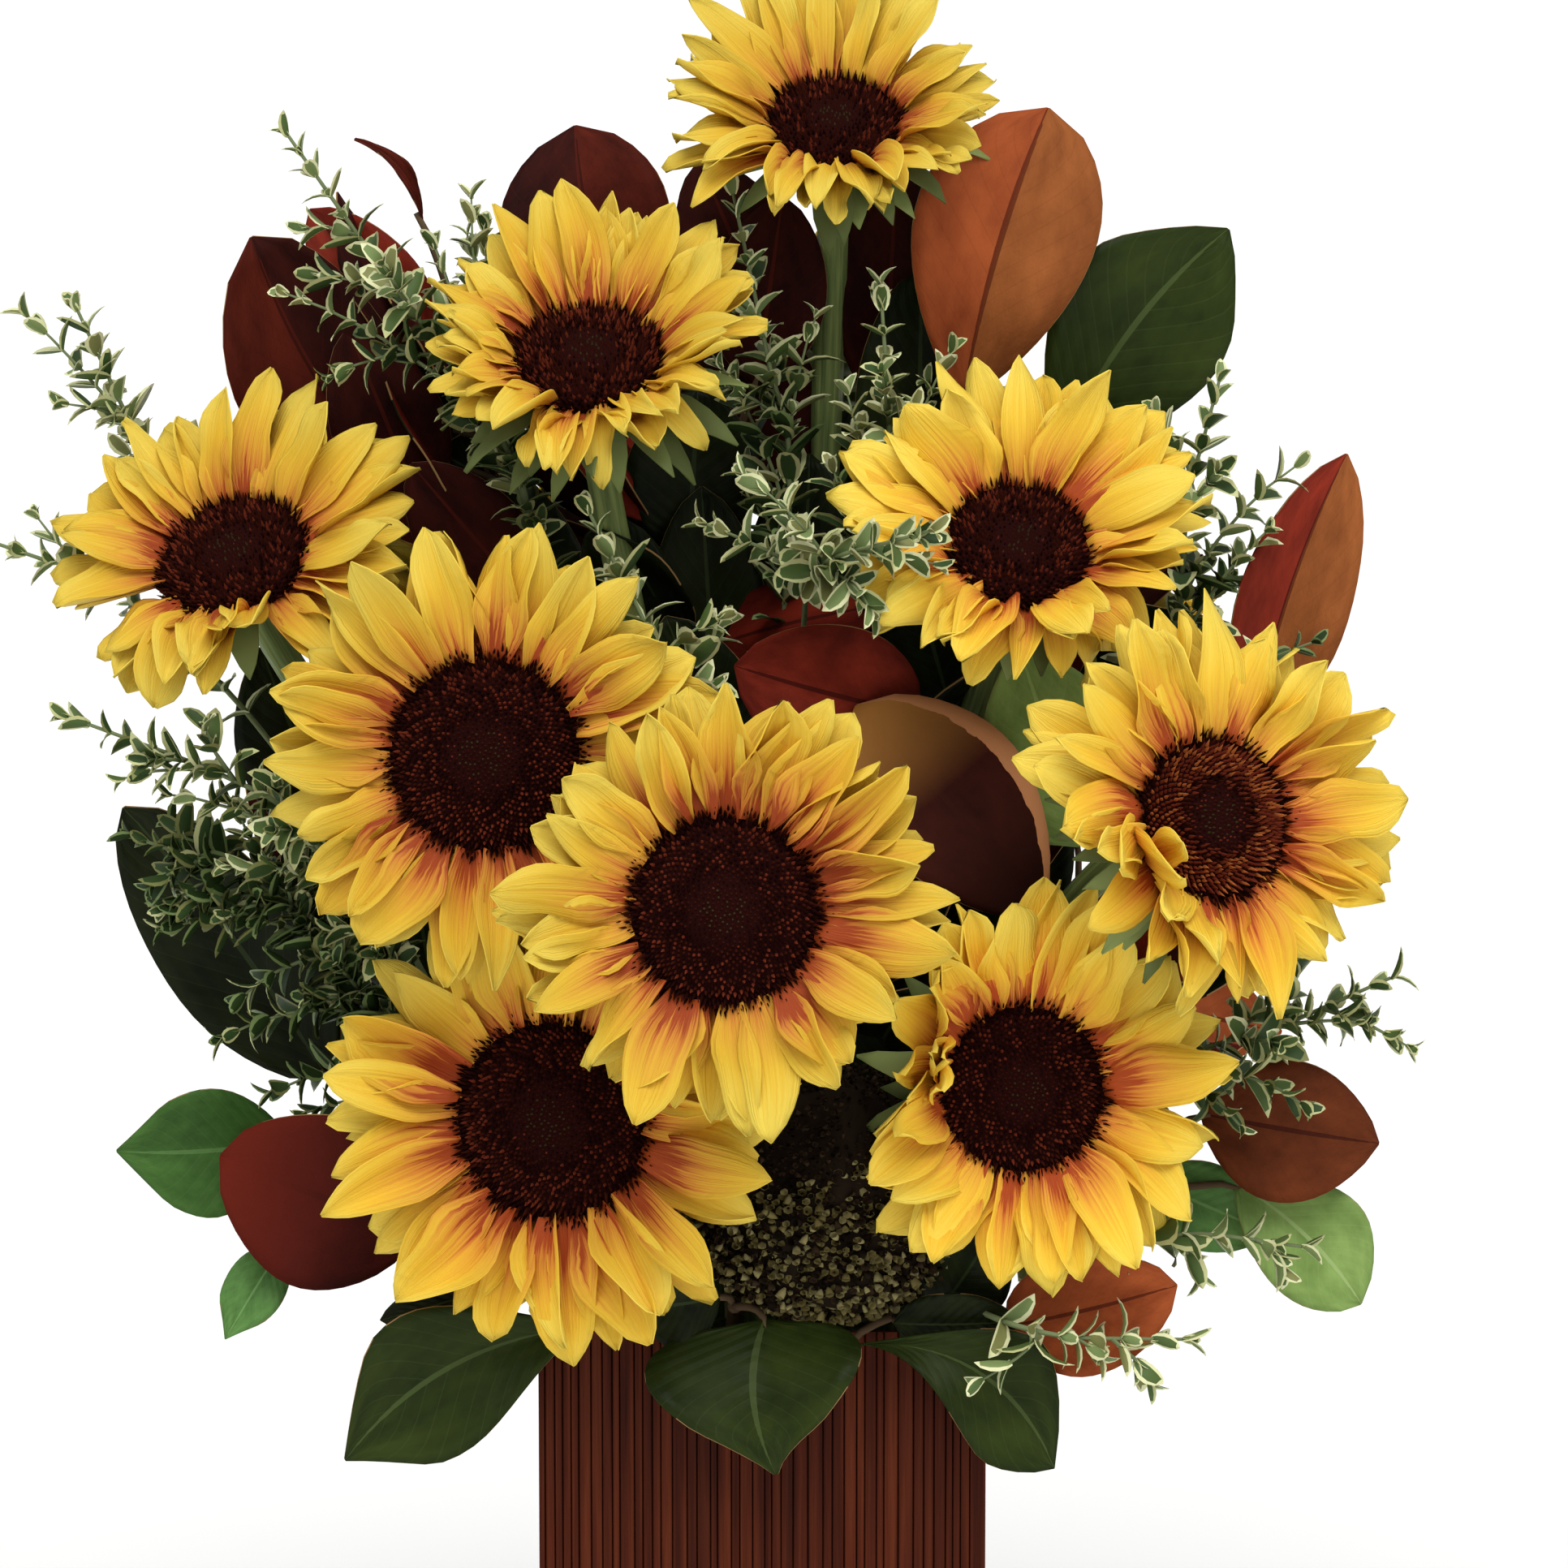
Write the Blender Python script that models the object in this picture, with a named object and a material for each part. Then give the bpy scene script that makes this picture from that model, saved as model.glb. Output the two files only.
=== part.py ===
# Nine cut sunflowers, four more at the back, magnolia leaves and variegated box in a slatted square vase.
# Metres, +Z up. The origin is the middle of the vase's flat underside and the front faces -Y.
# Places in the tables below are millimetres: (to the right, to the back, up).

import math
import random

import bmesh
import bpy
from mathutils import Matrix, Vector
from mathutils.bvhtree import BVHTree

MM = 0.001
GAP = 0.3 * MM  # left between pieces that touch
OVER_RIM = 16 * MM  # what is grown rises this far out of the filling before it leans
CLEARANCE = 0.5 * MM  # kept round whatever is grown past other pieces
SHARP_ANGLE = math.radians(40)

# vase and its filling
VASE_SIDE = 130 * MM
VASE_HEIGHT = 200 * MM
VASE_WALL = 7 * MM
VASE_FLOOR = 8 * MM
SLATS_A_SIDE = 12
GROOVE_WIDTH = 1.6 * MM
GROOVE_DEPTH = 1.0 * MM
FILL_TOP = 188 * MM
FILL_CHAMFER = 4 * MM

# sunflower heads
RAYS_IN_RING = 14
RAY_THICK = 1.5 * MM
VALLEY_SHARE = 0.66  # how far out neighbouring rays stay joined
RING_STEP = 4 * MM  # the rear ring of rays sits this far behind the front ring
REAR_DROP = math.radians(12)
NECK_DEPTH = 19 * MM
NECK_RADIUS = 5.2 * MM
DOME_SHARE = 0.2
RAY_SPREAD = 0.1  # how much the rays of one head differ in length
LOWER_SHORT = 0.005  # share by which the lower rays are shorter, for each degree the head tilts up
RAY_WOBBLE = math.radians(6)

STEM_SIDES = 5
STEM_STEPS = 5
STEM_TOP_RADIUS = 4.4 * MM
STEM_FOOT_RADIUS = 5.2 * MM

# magnolia leaves
BLADE_THICK = 1.7 * MM
BLADE_SHARES = (0.14, 0.38, 0.66, 0.9)  # where a blade has its cross-sections
STALK_RADIUS = 1.5 * MM
BRANCH_RADIUS = 2.8 * MM
BRANCH_END = 0.97  # leaves leave a branch no further out than this share of it
FILLERS_EACH = 1  # further leaves on each long branch, wherever they find room
FILLER_TRIES = 30
FILLER_FIRST = 0.35  # share of a branch below which no further leaf grows
FILLER_STALK = 9 * MM
FILLER_LENGTH = (46 * MM, 64 * MM)
FILLER_WIDTH = (26, 34)
FILLER_SPREAD = 10 * MM
FILLER_SIDE, FILLER_FRONT, FILLER_TOP = 170 * MM, -90 * MM, 540 * MM  # how far they may reach
LONG_BRANCH = 100 * MM

# variegated box
TWIG_RADIUS = 1.1 * MM
SIDE_TWIG_RADIUS = 0.9 * MM
BOX_LEAF_LENGTH = 22 * MM
BOX_LEAF_WIDTH = 12 * MM
WIDEST_SHARE = 0.45
BOX_LEAF_THICK = 1.2 * MM
BOX_LEAF_STEP = 44 * MM
FIRST_BOX_LEAF = 0.62  # share of the main twig that is bare at its foot

# each head: place of the disc's middle, turn to the right and tilt upwards of its face in degrees,
# disc radius, ray length, then how far the rays lift off the disc's plane at its upper and lower edge,
# and the stem: its foot in the filling, its rise out of it and its reach behind the head
HEADS = {
    "top": ((21, -6, 546), (0, 50), 20.5, 34, (38, 48), (-10, -50), (12, 8), 150, 60),
    "upper_left": ((-49, -54, 481), (-3, 52), 22.5, 31, (36, 50), (-8, -50), (-12, -2), 120, 60),
    "left": ((-152, -42, 423), (-18, 46), 23, 34, (30, 20), (-8, -45), (-42, -8), 90, 70),
    "left_centre": ((-77, -106, 374), (-4, 9), 28.5, 35, (12, 12), (-12, -20), (-30, -24), 70, 72),
    "centre": ((-10, -142, 336), (0, 8), 27.5, 34, (16, 16), (-16, -22), (-6, -22), 60, 84),
    "lower_left": ((-59, -98, 269), (-14, 3), 29.5, 38, (10, 14), (-12, -22), (-34, -40), 30, 50),
    "lower_right": ((74, -88, 276), (8, 6), 25, 34, (14, 22), (-10, -30), (36, -40), 34, 50),
    "right": ((126, -105, 356), (24, 12), 24, 35, (14, 18), (-12, -30), (44, -20), 70, 66),
    "upper_right": ((73, -68, 429), (6, 40), 21.5, 34, (28, 36), (-8, -50), (28, -6), 100, 60),
    "back_top": ((12, 66, 468), (180, 44), 22, 32, (26, 34), (-8, -48), (-2, 34), 120, 50),
    "back_left": ((-92, 60, 388), (-142, 22), 24, 32, (18, 18), (-10, -30), (-34, 26), 90, 50),
    "back_right": ((94, 62, 384), (142, 24), 24, 32, (18, 18), (-10, -30), (34, 28), 90, 50),
    "back_low": ((4, 98, 306), (180, 8), 26, 33, (14, 14), (-12, -20), (4, 44), 50, 50),
}

# each magnolia branch: its foot in the filling and its points, then its leaves: where each leaf leaves
# the branch, blade root, blade tip, width, how far the blade bows towards its upper face, the turn of
# that face about the midrib in degrees from the front, and how far the margins fold
BRANCHES = {
    "magnolia_upper_left": (
        (-26, 14),
        [(-44, 10, 300), (-66, 8, 400), (-84, 8, 470)],
        [
            (0.62, (-84, 0, 418), (-149, -6, 513), 50, -10, 10, 5),
            (0.8, (-95, 12, 476), (-134, 20, 518), 28, 4, 0, 3),
            (1.0, (-96, 10, 515), (-118, 12, 542), 7, 6, 20, 1),
            (0.5, (-67, -2, 404), (-103, -8, 447), 32, 3, 0, 3),
        ],
    ),
    "magnolia_top_left": (
        (-4, 18),
        [(-14, 16, 320), (-28, 12, 430)],
        [
            (1.0, (-42, 4, 475), (-55, 8, 545), 50, 5, 0, 7),
            (0.9, (3, 24, 484), (-19, 30, 534), 34, 4, 0, 3),
        ],
    ),
    "magnolia_upper_right": (
        (24, 20),
        [(40, 12, 320), (60, 14, 410)],
        [
            (1.0, (59, 8, 464), (84, 12, 550), 54, 8, 0, 7),
            (0.92, (89, 16, 448), (137, 22, 514), 50, 5, 15, 4),
        ],
    ),
    "magnolia_right": (
        (46, 8),
        [(80, 12, 260), (112, 6, 330)],
        [
            (1.0, (142, -16, 363), (169, -10, 450), 38, 6, 15, 7),
            (0.8, (124, 30, 346), (156, 42, 392), 40, 5, 60, 4),
            (0.7, (92, -38, 338), (74, -44, 397), 44, 4, 10, 4),
        ],
    ),
    "magnolia_centre": (
        (10, -12),
        [(20, -14, 260), (34, -20, 345), (38, -24, 368)],
        [
            (1.0, (46, -40, 377), (-8, -46, 392), 42, 8, 0, 5),
            (0.93, (27, -50, 381), (79, -66, 323), 48, 8, 20, 7),
        ],
    ),
    "magnolia_left": (
        (-46, 14),
        [(-84, 12, 232), (-112, 0, 250)],
        [
            (1.0, (-129, -14, 265), (-188, -14, 346), 46, -8, -10, 5),
            (0.7, (-118, 12, 236), (-156, 28, 206), 30, 5, -40, 3),
        ],
    ),
    "magnolia_low_left": (
        (-50, -30),
        [(-84, -34, 222)],
        [
            (1.0, (-140, -32, 250), (-189, -38, 248), 36, 4, -10, 4),
            (0.9, (-104, -50, 230), (-157, -54, 247), 50, 5, -10, 5),
            (0.8, (-140, -40, 221), (-157, -48, 194), 18, 3, -10, 2),
        ],
    ),
    "magnolia_front_left": (
        (-50, -50),
        [(-56, -62, 208)],
        [
            (1.0, (-53, -71, 206), (-120, -80, 169), 40, 4, 10, 5),
            (0.8, (-76, -56, 212), (-111, -58, 202), 16, 2, 0, 2),
        ],
    ),
    "magnolia_front": (
        (-8, -50),
        [(-8, -62, 207)],
        [
            (1.0, (1, -74, 206), (4, -89, 164), 68, 5, 0, 8),
            (0.8, (-12, -72, 212), (-38, -78, 210), 26, 3, 0, 3),
        ],
    ),
    "magnolia_front_right": (
        (44, -51),
        [(43, -62, 206)],
        [
            (1.0, (28, -73, 200), (83, -81, 166), 36, 5, 10, 4),
        ],
    ),
    "magnolia_low_right": (
        (50, -30),
        [(82, -46, 232)],
        [
            (1.0, (127, -52, 262), (179, -52, 253), 42, 4, 10, 4),
            (0.9, (138, -44, 240), (175, -46, 204), 34, 4, 10, 4),
            (0.8, (112, -38, 240), (149, -40, 224), 26, 3, 0, 3),
            (0.5, (70, -70, 203), (119, -78, 217), 36, 4, 0, 5),
        ],
    ),
    "magnolia_back_left": (
        (-46, 36),
        [(-80, 52, 260), (-112, 50, 310)],
        [
            (1.0, (-126, 14, 330), (-150, 16, 390), 36, 3, 200, 4),
            (0.7, (-104, 64, 276), (-160, 92, 258), 44, 6, 150, 5),
            (0.5, (-70, 78, 240), (-98, 118, 192), 38, 6, 160, 5),
        ],
    ),
    "magnolia_back_right": (
        (46, 36),
        [(80, 52, 260), (112, 50, 310)],
        [
            (1.0, (136, 60, 306), (168, 76, 352), 42, 6, 160, 5),
            (0.7, (104, 64, 276), (162, 90, 260), 44, 6, 210, 5),
            (0.5, (70, 78, 240), (96, 118, 194), 38, 6, 200, 5),
        ],
    ),
    "magnolia_back": (
        (-20, 50),
        [(-28, 66, 290), (-36, 56, 400)],
        [
            (1.0, (-44, 54, 446), (-72, 58, 520), 44, 6, 180, 5),
            (0.2, (-26, 84, 220), (-32, 120, 166), 42, 6, 180, 5),
        ],
    ),
}

# each box sprig: its foot in the filling, its main twig's points, and the tips of its side twigs with
# the share of the main twig at which each leaves
SPRIGS = {
    "box_upper_left": (
        (-34, 4),
        [(-52, -8, 330), (-70, -18, 442), (-106, -20, 498), (-129, -20, 531)],
        [(0.72, (-142, -26, 501)), (0.66, (-86, -10, 532)), (0.78, (-127, -27, 474))],
    ),
    "box_far_left": (
        (-52, 2),
        [(-110, 2, 320), (-160, 2, 420), (-184, 2, 455), (-196, 2, 480)],
        [(0.82, (-219, 0, 494))],
    ),
    "box_left": (
        (-53, -14),
        [(-120, -10, 330), (-180, -12, 404), (-221, -14, 423)],
        [(0.84, (-214, -12, 433))],
    ),
    "box_left_low": (
        (-53, -24),
        [(-96, -50, 290), (-130, -64, 346), (-152, -66, 362), (-187, -62, 375)],
        [(0.82, (-184, -66, 362)), (0.6, (-156, -58, 336))],
    ),
    "box_left_mass": (
        (-44, -48),
        [(-84, -44, 250), (-120, -40, 300), (-146, -44, 328), (-171, -44, 338)],
        [
            (0.45, (-146, -50, 268)),
            (0.55, (-160, -50, 284)),
            (0.6, (-128, -34, 346)),
            (0.7, (-176, -46, 316)),
            (0.66, (-152, -50, 296)),
        ],
    ),
    "box_centre_column": (
        (16, -4),
        [(24, -10, 330), (36, -24, 437), (36, -24, 470), (35, -24, 488)],
        [(0.74, (56, -26, 486)), (0.66, (50, -28, 458))],
    ),
    "box_centre_left": (
        (0, 4),
        [(2, -4, 320), (8, -14, 441), (2, -12, 476), (-6, -10, 514)],
        [(0.74, (16, -12, 494)), (0.7, (-18, -14, 486))],
    ),
    "box_middle": (
        (4, -32),
        [(8, -30, 330), (12, -33, 402), (16, -78, 424), (38, -102, 434)],
        [(0.76, (-18, -76, 437)), (0.85, (-6, -82, 452)), (0.81, (31, -104, 415))],
    ),
    "box_middle_left": (
        (-16, -30),
        [(-22, -54, 300), (-24, -80, 376), (-30, -80, 401), (-43, -78, 428)],
        [(0.81, (-11, -80, 411)), (0.77, (-14, -88, 392))],
    ),
    "box_upper_right": (
        (38, 2),
        [(98, -14, 290), (120, -24, 400), (123, -28, 436), (129, -28, 461)],
        [
            (0.76, (157, -30, 452)),
            (0.7, (148, -32, 433)),
            (0.84, (114, -26, 466)),
            (0.6, (162, -50, 403)),
        ],
    ),
    "box_right_low": (
        (52, -20),
        [(90, -50, 250), (122, -62, 280), (146, -66, 289), (169, -70, 300)],
        [(0.8, (170, -76, 284)), (0.62, (157, -81, 270)), (0.6, (139, -76, 262))],
    ),
    "box_foot_right": (
        (52, -42),
        [(76, -60, 222), (104, -74, 229), (126, -74, 231), (143, -74, 229)],
        [(0.7, (126, -72, 219)), (0.9, (150, -74, 221))],
    ),
    "box_foot_front": (
        (54, -51),
        [(60, -68, 208), (72, -90, 208), (88, -92, 205), (108, -90, 204)],
        [(0.6, (62, -94, 190)), (0.7, (98, -94, 194))],
    ),
    "box_back_left": (
        (-20, 34),
        [(-44, 44, 320), (-62, 30, 430), (-84, 30, 500)],
        [(0.7, (-96, 40, 462)), (0.8, (-58, 34, 496))],
    ),
    "box_back_right": (
        (22, 40),
        [(44, 44, 320), (56, 30, 430), (60, 30, 500)],
        [(0.7, (84, 40, 462)), (0.8, (76, 34, 490))],
    ),
    "box_back_low": (
        (24, 51),
        [(40, 84, 230), (60, 98, 268), (84, 104, 290)],
        [(0.7, (96, 100, 252)), (0.5, (50, 112, 232))],
    ),
}

# dried florets low in the middle: one bumpy clump on a short stem
CLUMP_PLACE = (19, -64, 241)
CLUMP_HALF = (41, 27, 37)
CLUMP_BUMP = 0.1
CLUMP_FOOT = (18, -44)
CLUMP_STEM = 3 * MM

COLOURS = {
    "slats": ((0.06, 0.02, 0.012, 1), 0.5),
    "foam": ((0.05, 0.1, 0.04, 1), 0.9),
    "rays": ((0.9, 0.6, 0.04, 1), 0.6),
    "stalks": ((0.16, 0.3, 0.1, 1), 0.6),
    "magnolia": ((0.16, 0.05, 0.02, 1), 0.5),
    "box": ((0.2, 0.32, 0.14, 1), 0.6),
    "dried": ((0.12, 0.11, 0.05, 1), 0.9),
}

UP = Vector((0, 0, 1))


def clearScene():
    for obj in list(bpy.data.objects):
        bpy.data.objects.remove(obj, do_unlink=True)


def makeMaterial(name):
    colour, rough = COLOURS[name]
    material = bpy.data.materials.new(name)
    material.use_nodes = True
    shader = material.node_tree.nodes["Principled BSDF"]
    shader.inputs["Base Color"].default_value = colour
    shader.inputs["Roughness"].default_value = rough
    return material


def makeObject(name, bm, material, place=None):
    bmesh.ops.recalc_face_normals(bm, faces=bm.faces)
    mesh = bpy.data.meshes.new(name)
    bm.to_mesh(mesh)
    bm.free()
    mesh.materials.append(material)
    obj = bpy.data.objects.new(name, mesh)
    if place is not None:
        obj.matrix_world = place
    bpy.context.scene.collection.objects.link(obj)
    return obj


def shadeRound(obj):
    obj.data.shade_smooth()
    obj.data.set_sharp_from_angle(angle=SHARP_ANGLE)
    return obj


def millimetres(point):
    return Vector(point) * MM


# curves and lofted shapes


def smoothPath(points, steps):
    """Points along a Catmull-Rom curve through `points`, `steps` to a span."""
    ends = [2 * points[0] - points[1]] + points + [2 * points[-1] - points[-2]]
    path = []
    for k in range(1, len(ends) - 2):
        a, b, c, d = ends[k - 1 : k + 3]
        for step in range(steps):
            t = step / steps
            bend = (2 * a - 5 * b + 4 * c - d) * t * t + (3 * b - a - 3 * c + d) * t**3
            path.append(0.5 * (2 * b + (c - a) * t + bend))
    return path + [points[-1]]


def bezierPath(a, b, c, d, steps):
    path = []
    for step in range(steps + 1):
        t = step / steps
        s = 1 - t
        path.append(a * s**3 + b * 3 * s * s * t + c * 3 * s * t * t + d * t**3)
    return path


def risingPath(foot, points, steps):
    """Straight up out of the filling and past the rim, then smoothly through the points."""
    low = Vector((foot[0] * MM, foot[1] * MM, FILL_TOP + GAP))
    path = smoothPath([low + UP * OVER_RIM] + [millimetres(p) for p in points], steps)
    return [low, low + UP * OVER_RIM / 2] + path


def pathAt(path, share):
    """The point at a share of the path's length."""
    lengths = [(b - a).length for a, b in zip(path, path[1:])]
    left = share * sum(lengths)
    for a, b, length in zip(path, path[1:], lengths):
        if left <= length:
            return a.lerp(b, left / length)
        left -= length
    return path[-1].copy()


def skin(bm, rings, capEnds=True):
    """Quads from each ring of vertices to the next, with both ends closed."""
    for ring, following in zip(rings, rings[1:]):
        count = len(ring)
        for k in range(count):
            bm.faces.new((ring[k], ring[(k + 1) % count], following[(k + 1) % count], following[k]))
    if capEnds:
        bm.faces.new(list(reversed(rings[0])))
        bm.faces.new(rings[-1])


def addTube(bm, path, radii, sides):
    """A round limb along the path, with one radius for each point."""
    side = (path[1] - path[0]).orthogonal().normalized()
    rings = []
    for k, point in enumerate(path):
        along = (path[min(k + 1, len(path) - 1)] - path[max(k - 1, 0)]).normalized()
        side = (side - along * side.dot(along)).normalized()
        across = along.cross(side)
        ring = []
        for n in range(sides):
            turn = math.tau * n / sides
            ring.append(bm.verts.new(point + radii[k] * (side * math.cos(turn) + across * math.sin(turn))))
        rings.append(ring)
    skin(bm, rings)


def taper(first, last, count):
    return [first + (last - first) * k / (count - 1) for k in range(count)]


def tubeMesh(path, first, last, sides):
    bm = bmesh.new()
    addTube(bm, path, taper(first, last, len(path)), sides)
    return bm


# what is already placed, so that later pieces keep clear of it


class Space:
    """Surfaces of the pieces placed so far."""

    def __init__(self):
        self.trees = []

    def add(self, obj):
        depsgraph = bpy.context.evaluated_depsgraph_get()
        bm = bmesh.new()
        bm.from_object(obj, depsgraph)
        bm.transform(obj.matrix_world)
        self.reserve(bm, obj.name)
        bm.free()

    def reserve(self, bm, owner):
        self.trees.append((owner, BVHTree.FromBMesh(bm)))

    def isClear(self, bm, owner=None):
        grown = bm.copy()
        bmesh.ops.recalc_face_normals(grown, faces=grown.faces)
        grown.normal_update()
        for vert in grown.verts:
            vert.co += vert.normal * CLEARANCE
        tree = BVHTree.FromBMesh(grown)
        grown.free()
        return not any(name != owner and tree.overlap(other) for name, other in self.trees)


def isClosed(mesh):
    sides = {}
    for polygon in mesh.polygons:
        for key in polygon.edge_keys:
            sides[key] = sides.get(key, 0) + 1
    return all(count == 2 for count in sides.values())


def fuse(name, first, others, material):
    """One closed body from a stem and whatever is rooted in it."""
    base = makeObject(name, first, material)
    parts = bpy.data.collections.new(name + "_parts")
    bpy.context.scene.collection.children.link(parts)
    for k, bm in enumerate(others):
        piece = makeObject(f"{name}_{k}", bm, material)
        bpy.context.scene.collection.objects.unlink(piece)
        parts.objects.link(piece)
    union = base.modifiers.new("union", "BOOLEAN")
    union.operation = "UNION"
    union.operand_type = "COLLECTION"
    union.collection = parts
    for solver in ("EXACT", "MANIFOLD"):
        union.solver = solver
        depsgraph = bpy.context.evaluated_depsgraph_get()
        fused = bpy.data.meshes.new_from_object(base.evaluated_get(depsgraph))
        keepLargest(fused)
        if isClosed(fused):
            break
    base.modifiers.remove(union)
    base.data = fused
    for piece in list(parts.objects):
        bpy.data.objects.remove(piece, do_unlink=True)
    bpy.data.collections.remove(parts)
    return shadeRound(base)


def keepLargest(mesh):
    """Drops loose scraps and fills hollows that fusing sealed: only the widest shell stays."""
    bm = bmesh.new()
    bm.from_mesh(mesh)
    bmesh.ops.triangulate(bm, faces=bm.faces)
    left = set(bm.faces)
    shells = []
    while left:
        queue = [left.pop()]
        shell = list(queue)
        while queue:
            for edge in queue.pop().edges:
                for face in edge.link_faces:
                    if face in left:
                        left.remove(face)
                        queue.append(face)
                        shell.append(face)
        shells.append(shell)
    shells.sort(key=len)
    for shell in shells[:-1]:
        bmesh.ops.delete(bm, geom=shell, context="FACES")
    bm.to_mesh(mesh)
    bm.free()


# vase


def slattedOutline():
    """The vase's outline: straight slats with a small groove between each two."""
    half = VASE_SIDE / 2
    slat = VASE_SIDE / SLATS_A_SIDE
    points = []
    for corner in range(4):
        turn = Matrix.Rotation(corner * math.pi / 2, 3, "Z")
        points.append(turn @ Vector((-half, -half, 0)))
        for k in range(1, SLATS_A_SIDE):
            x = -half + slat * k
            points.append(turn @ Vector((x - GROOVE_WIDTH / 2, -half, 0)))
            points.append(turn @ Vector((x, -half + GROOVE_DEPTH, 0)))
            points.append(turn @ Vector((x + GROOVE_WIDTH / 2, -half, 0)))
    return points


def prismMesh(outline, bottom, top):
    bm = bmesh.new()
    rings = [[bm.verts.new((p.x, p.y, z)) for p in outline] for z in (bottom, top)]
    skin(bm, rings)
    return bm


def squareOutline(half):
    return [Vector((x, y, 0)) for x, y in ((-half, -half), (half, -half), (half, half), (-half, half))]


def makeVase(material):
    vase = makeObject("vase", prismMesh(slattedOutline(), 0, VASE_HEIGHT), material)
    inner = VASE_SIDE / 2 - VASE_WALL
    space = prismMesh(squareOutline(inner), VASE_FLOOR, VASE_HEIGHT * 1.1)
    cutter = makeObject("vase_hollow", space, material)
    cutter.hide_render = True
    cutter.display_type = "WIRE"
    hollow = vase.modifiers.new("hollow", "BOOLEAN")
    hollow.object = cutter
    hollow.operation = "DIFFERENCE"
    hollow.solver = "EXACT"
    return vase


def makeFilling(material):
    inner = VASE_SIDE / 2 - VASE_WALL - GAP
    bm = bmesh.new()
    levels = ((VASE_FLOOR + GAP, inner), (FILL_TOP - FILL_CHAMFER, inner), (FILL_TOP, inner - FILL_CHAMFER))
    rings = [[bm.verts.new((p.x, p.y, z)) for p in squareOutline(half)] for z, half in levels]
    skin(bm, rings)
    return makeObject("filling", bm, material)


# sunflowers


def faceMatrix(place, turn, tilt):
    """Local Z looks out of the disc, local Y runs to its upper edge."""
    out = Vector((math.sin(turn) * math.cos(tilt), -math.cos(turn) * math.cos(tilt), math.sin(tilt)))
    side = Vector((math.cos(turn), math.sin(turn), 0))
    rise = out.cross(side)
    matrix = Matrix((side, rise, out)).transposed().to_4x4()
    matrix.translation = place
    return matrix


def mixEdge(pair, turn):
    """A value that goes from the disc's lower edge to its upper edge."""
    upper, lower = pair
    share = (1 + math.sin(turn)) / 2
    return lower + (upper - lower) * share


def rayPoint(start, length, lift, bend, share):
    """Distance out and height at a share of a ray that lifts, then bends over."""
    slope = lift + bend * share / 2
    return start + length * share * math.cos(slope), length * share * math.sin(slope)


def headRings(disc, length, lifts, bends, tilt, seed):
    """Rings of points from the disc's rim, out and back along both rings of rays, to the neck."""
    rng = random.Random(seed)
    samples = 2 * RAYS_IN_RING
    rows = [[] for _ in range(8)]
    for k in range(samples):
        turn = math.tau * k / samples
        lift = math.radians(mixEdge(lifts, turn)) + rng.uniform(-RAY_WOBBLE, RAY_WOBBLE)
        bend = math.radians(mixEdge(bends, turn))
        own = length * (1 + rng.uniform(-RAY_SPREAD, RAY_SPREAD)) * mixEdge((1, 1 - LOWER_SHORT * tilt), turn)
        twist = rng.uniform(-0.2, 0.2) * math.tau / samples
        onFront = k % 2 == 0
        rows[0].append((disc, turn, 0))
        for ring, rear in ((1, False), (5, True)):
            isAxis = onFront != rear
            slope = lift - (REAR_DROP if rear else 0)
            back = -RING_STEP if rear else 0
            midOut, midUp = rayPoint(disc, own, slope, bend, 0.5)
            edgeOut, edgeUp = rayPoint(disc, own, slope, bend, 1 if isAxis else VALLEY_SHARE)
            keel = 0.6 * MM if isAxis else -0.8 * MM
            rows[ring].append((midOut, turn, midUp + back + keel))
            rows[ring + 1].append((edgeOut, turn + (twist if isAxis else 0), edgeUp + back + keel))
            rows[ring + 2].append((midOut, turn, midUp + back + keel - RAY_THICK))
        rows[4].append((disc, turn, -RING_STEP))
    rows.append([(NECK_RADIUS, math.tau * k / samples, -NECK_DEPTH) for k in range(samples)])
    return rows


def makeHead(name, spec, seed, material):
    place, (turn, tilt), disc, length, lifts, bends = spec[:6]
    bm = bmesh.new()
    rings = []
    for row in headRings(disc * MM, length * MM, lifts, bends, tilt, seed):
        rings.append([bm.verts.new((r * math.cos(a), r * math.sin(a), z)) for r, a, z in row])
    skin(bm, rings, capEnds=False)
    bm.faces.new(rings[-1])
    crown = bm.verts.new((0, 0, disc * MM * DOME_SHARE))
    count = len(rings[0])
    for k in range(count):
        bm.faces.new((crown, rings[0][(k + 1) % count], rings[0][k]))
    matrix = faceMatrix(millimetres(place), math.radians(turn), math.radians(tilt))
    return shadeRound(makeObject("bloom_" + name, bm, material, matrix))


def makeStem(name, spec, material):
    place, (turn, tilt) = spec[:2]
    foot, rise, reach = spec[6:]
    matrix = faceMatrix(millimetres(place), math.radians(turn), math.radians(tilt))
    out = matrix.to_3x3() @ UP
    low = Vector((foot[0] * MM, foot[1] * MM, FILL_TOP + GAP))
    neck = matrix.translation - out * (NECK_DEPTH + GAP)
    path = bezierPath(low, low + UP * rise * MM, neck - out * reach * MM, neck, STEM_STEPS)
    path.insert(1, low + UP * 4 * MM)
    path.insert(-1, neck - out * 4 * MM)
    bm = tubeMesh(path, STEM_FOOT_RADIUS, STEM_TOP_RADIUS, STEM_SIDES)
    return shadeRound(makeObject("stem_" + name, bm, material))


# magnolia


def crossRing(bm, middle, side, face, reach, thick, lift):
    """Four corners of a blade or stalk: both margins, and the midrib's two faces."""
    margin = side * reach
    keel = face * thick
    points = (middle - margin + lift, middle + keel, middle + margin + lift, middle - keel)
    return [bm.verts.new(p) for p in points]


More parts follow.
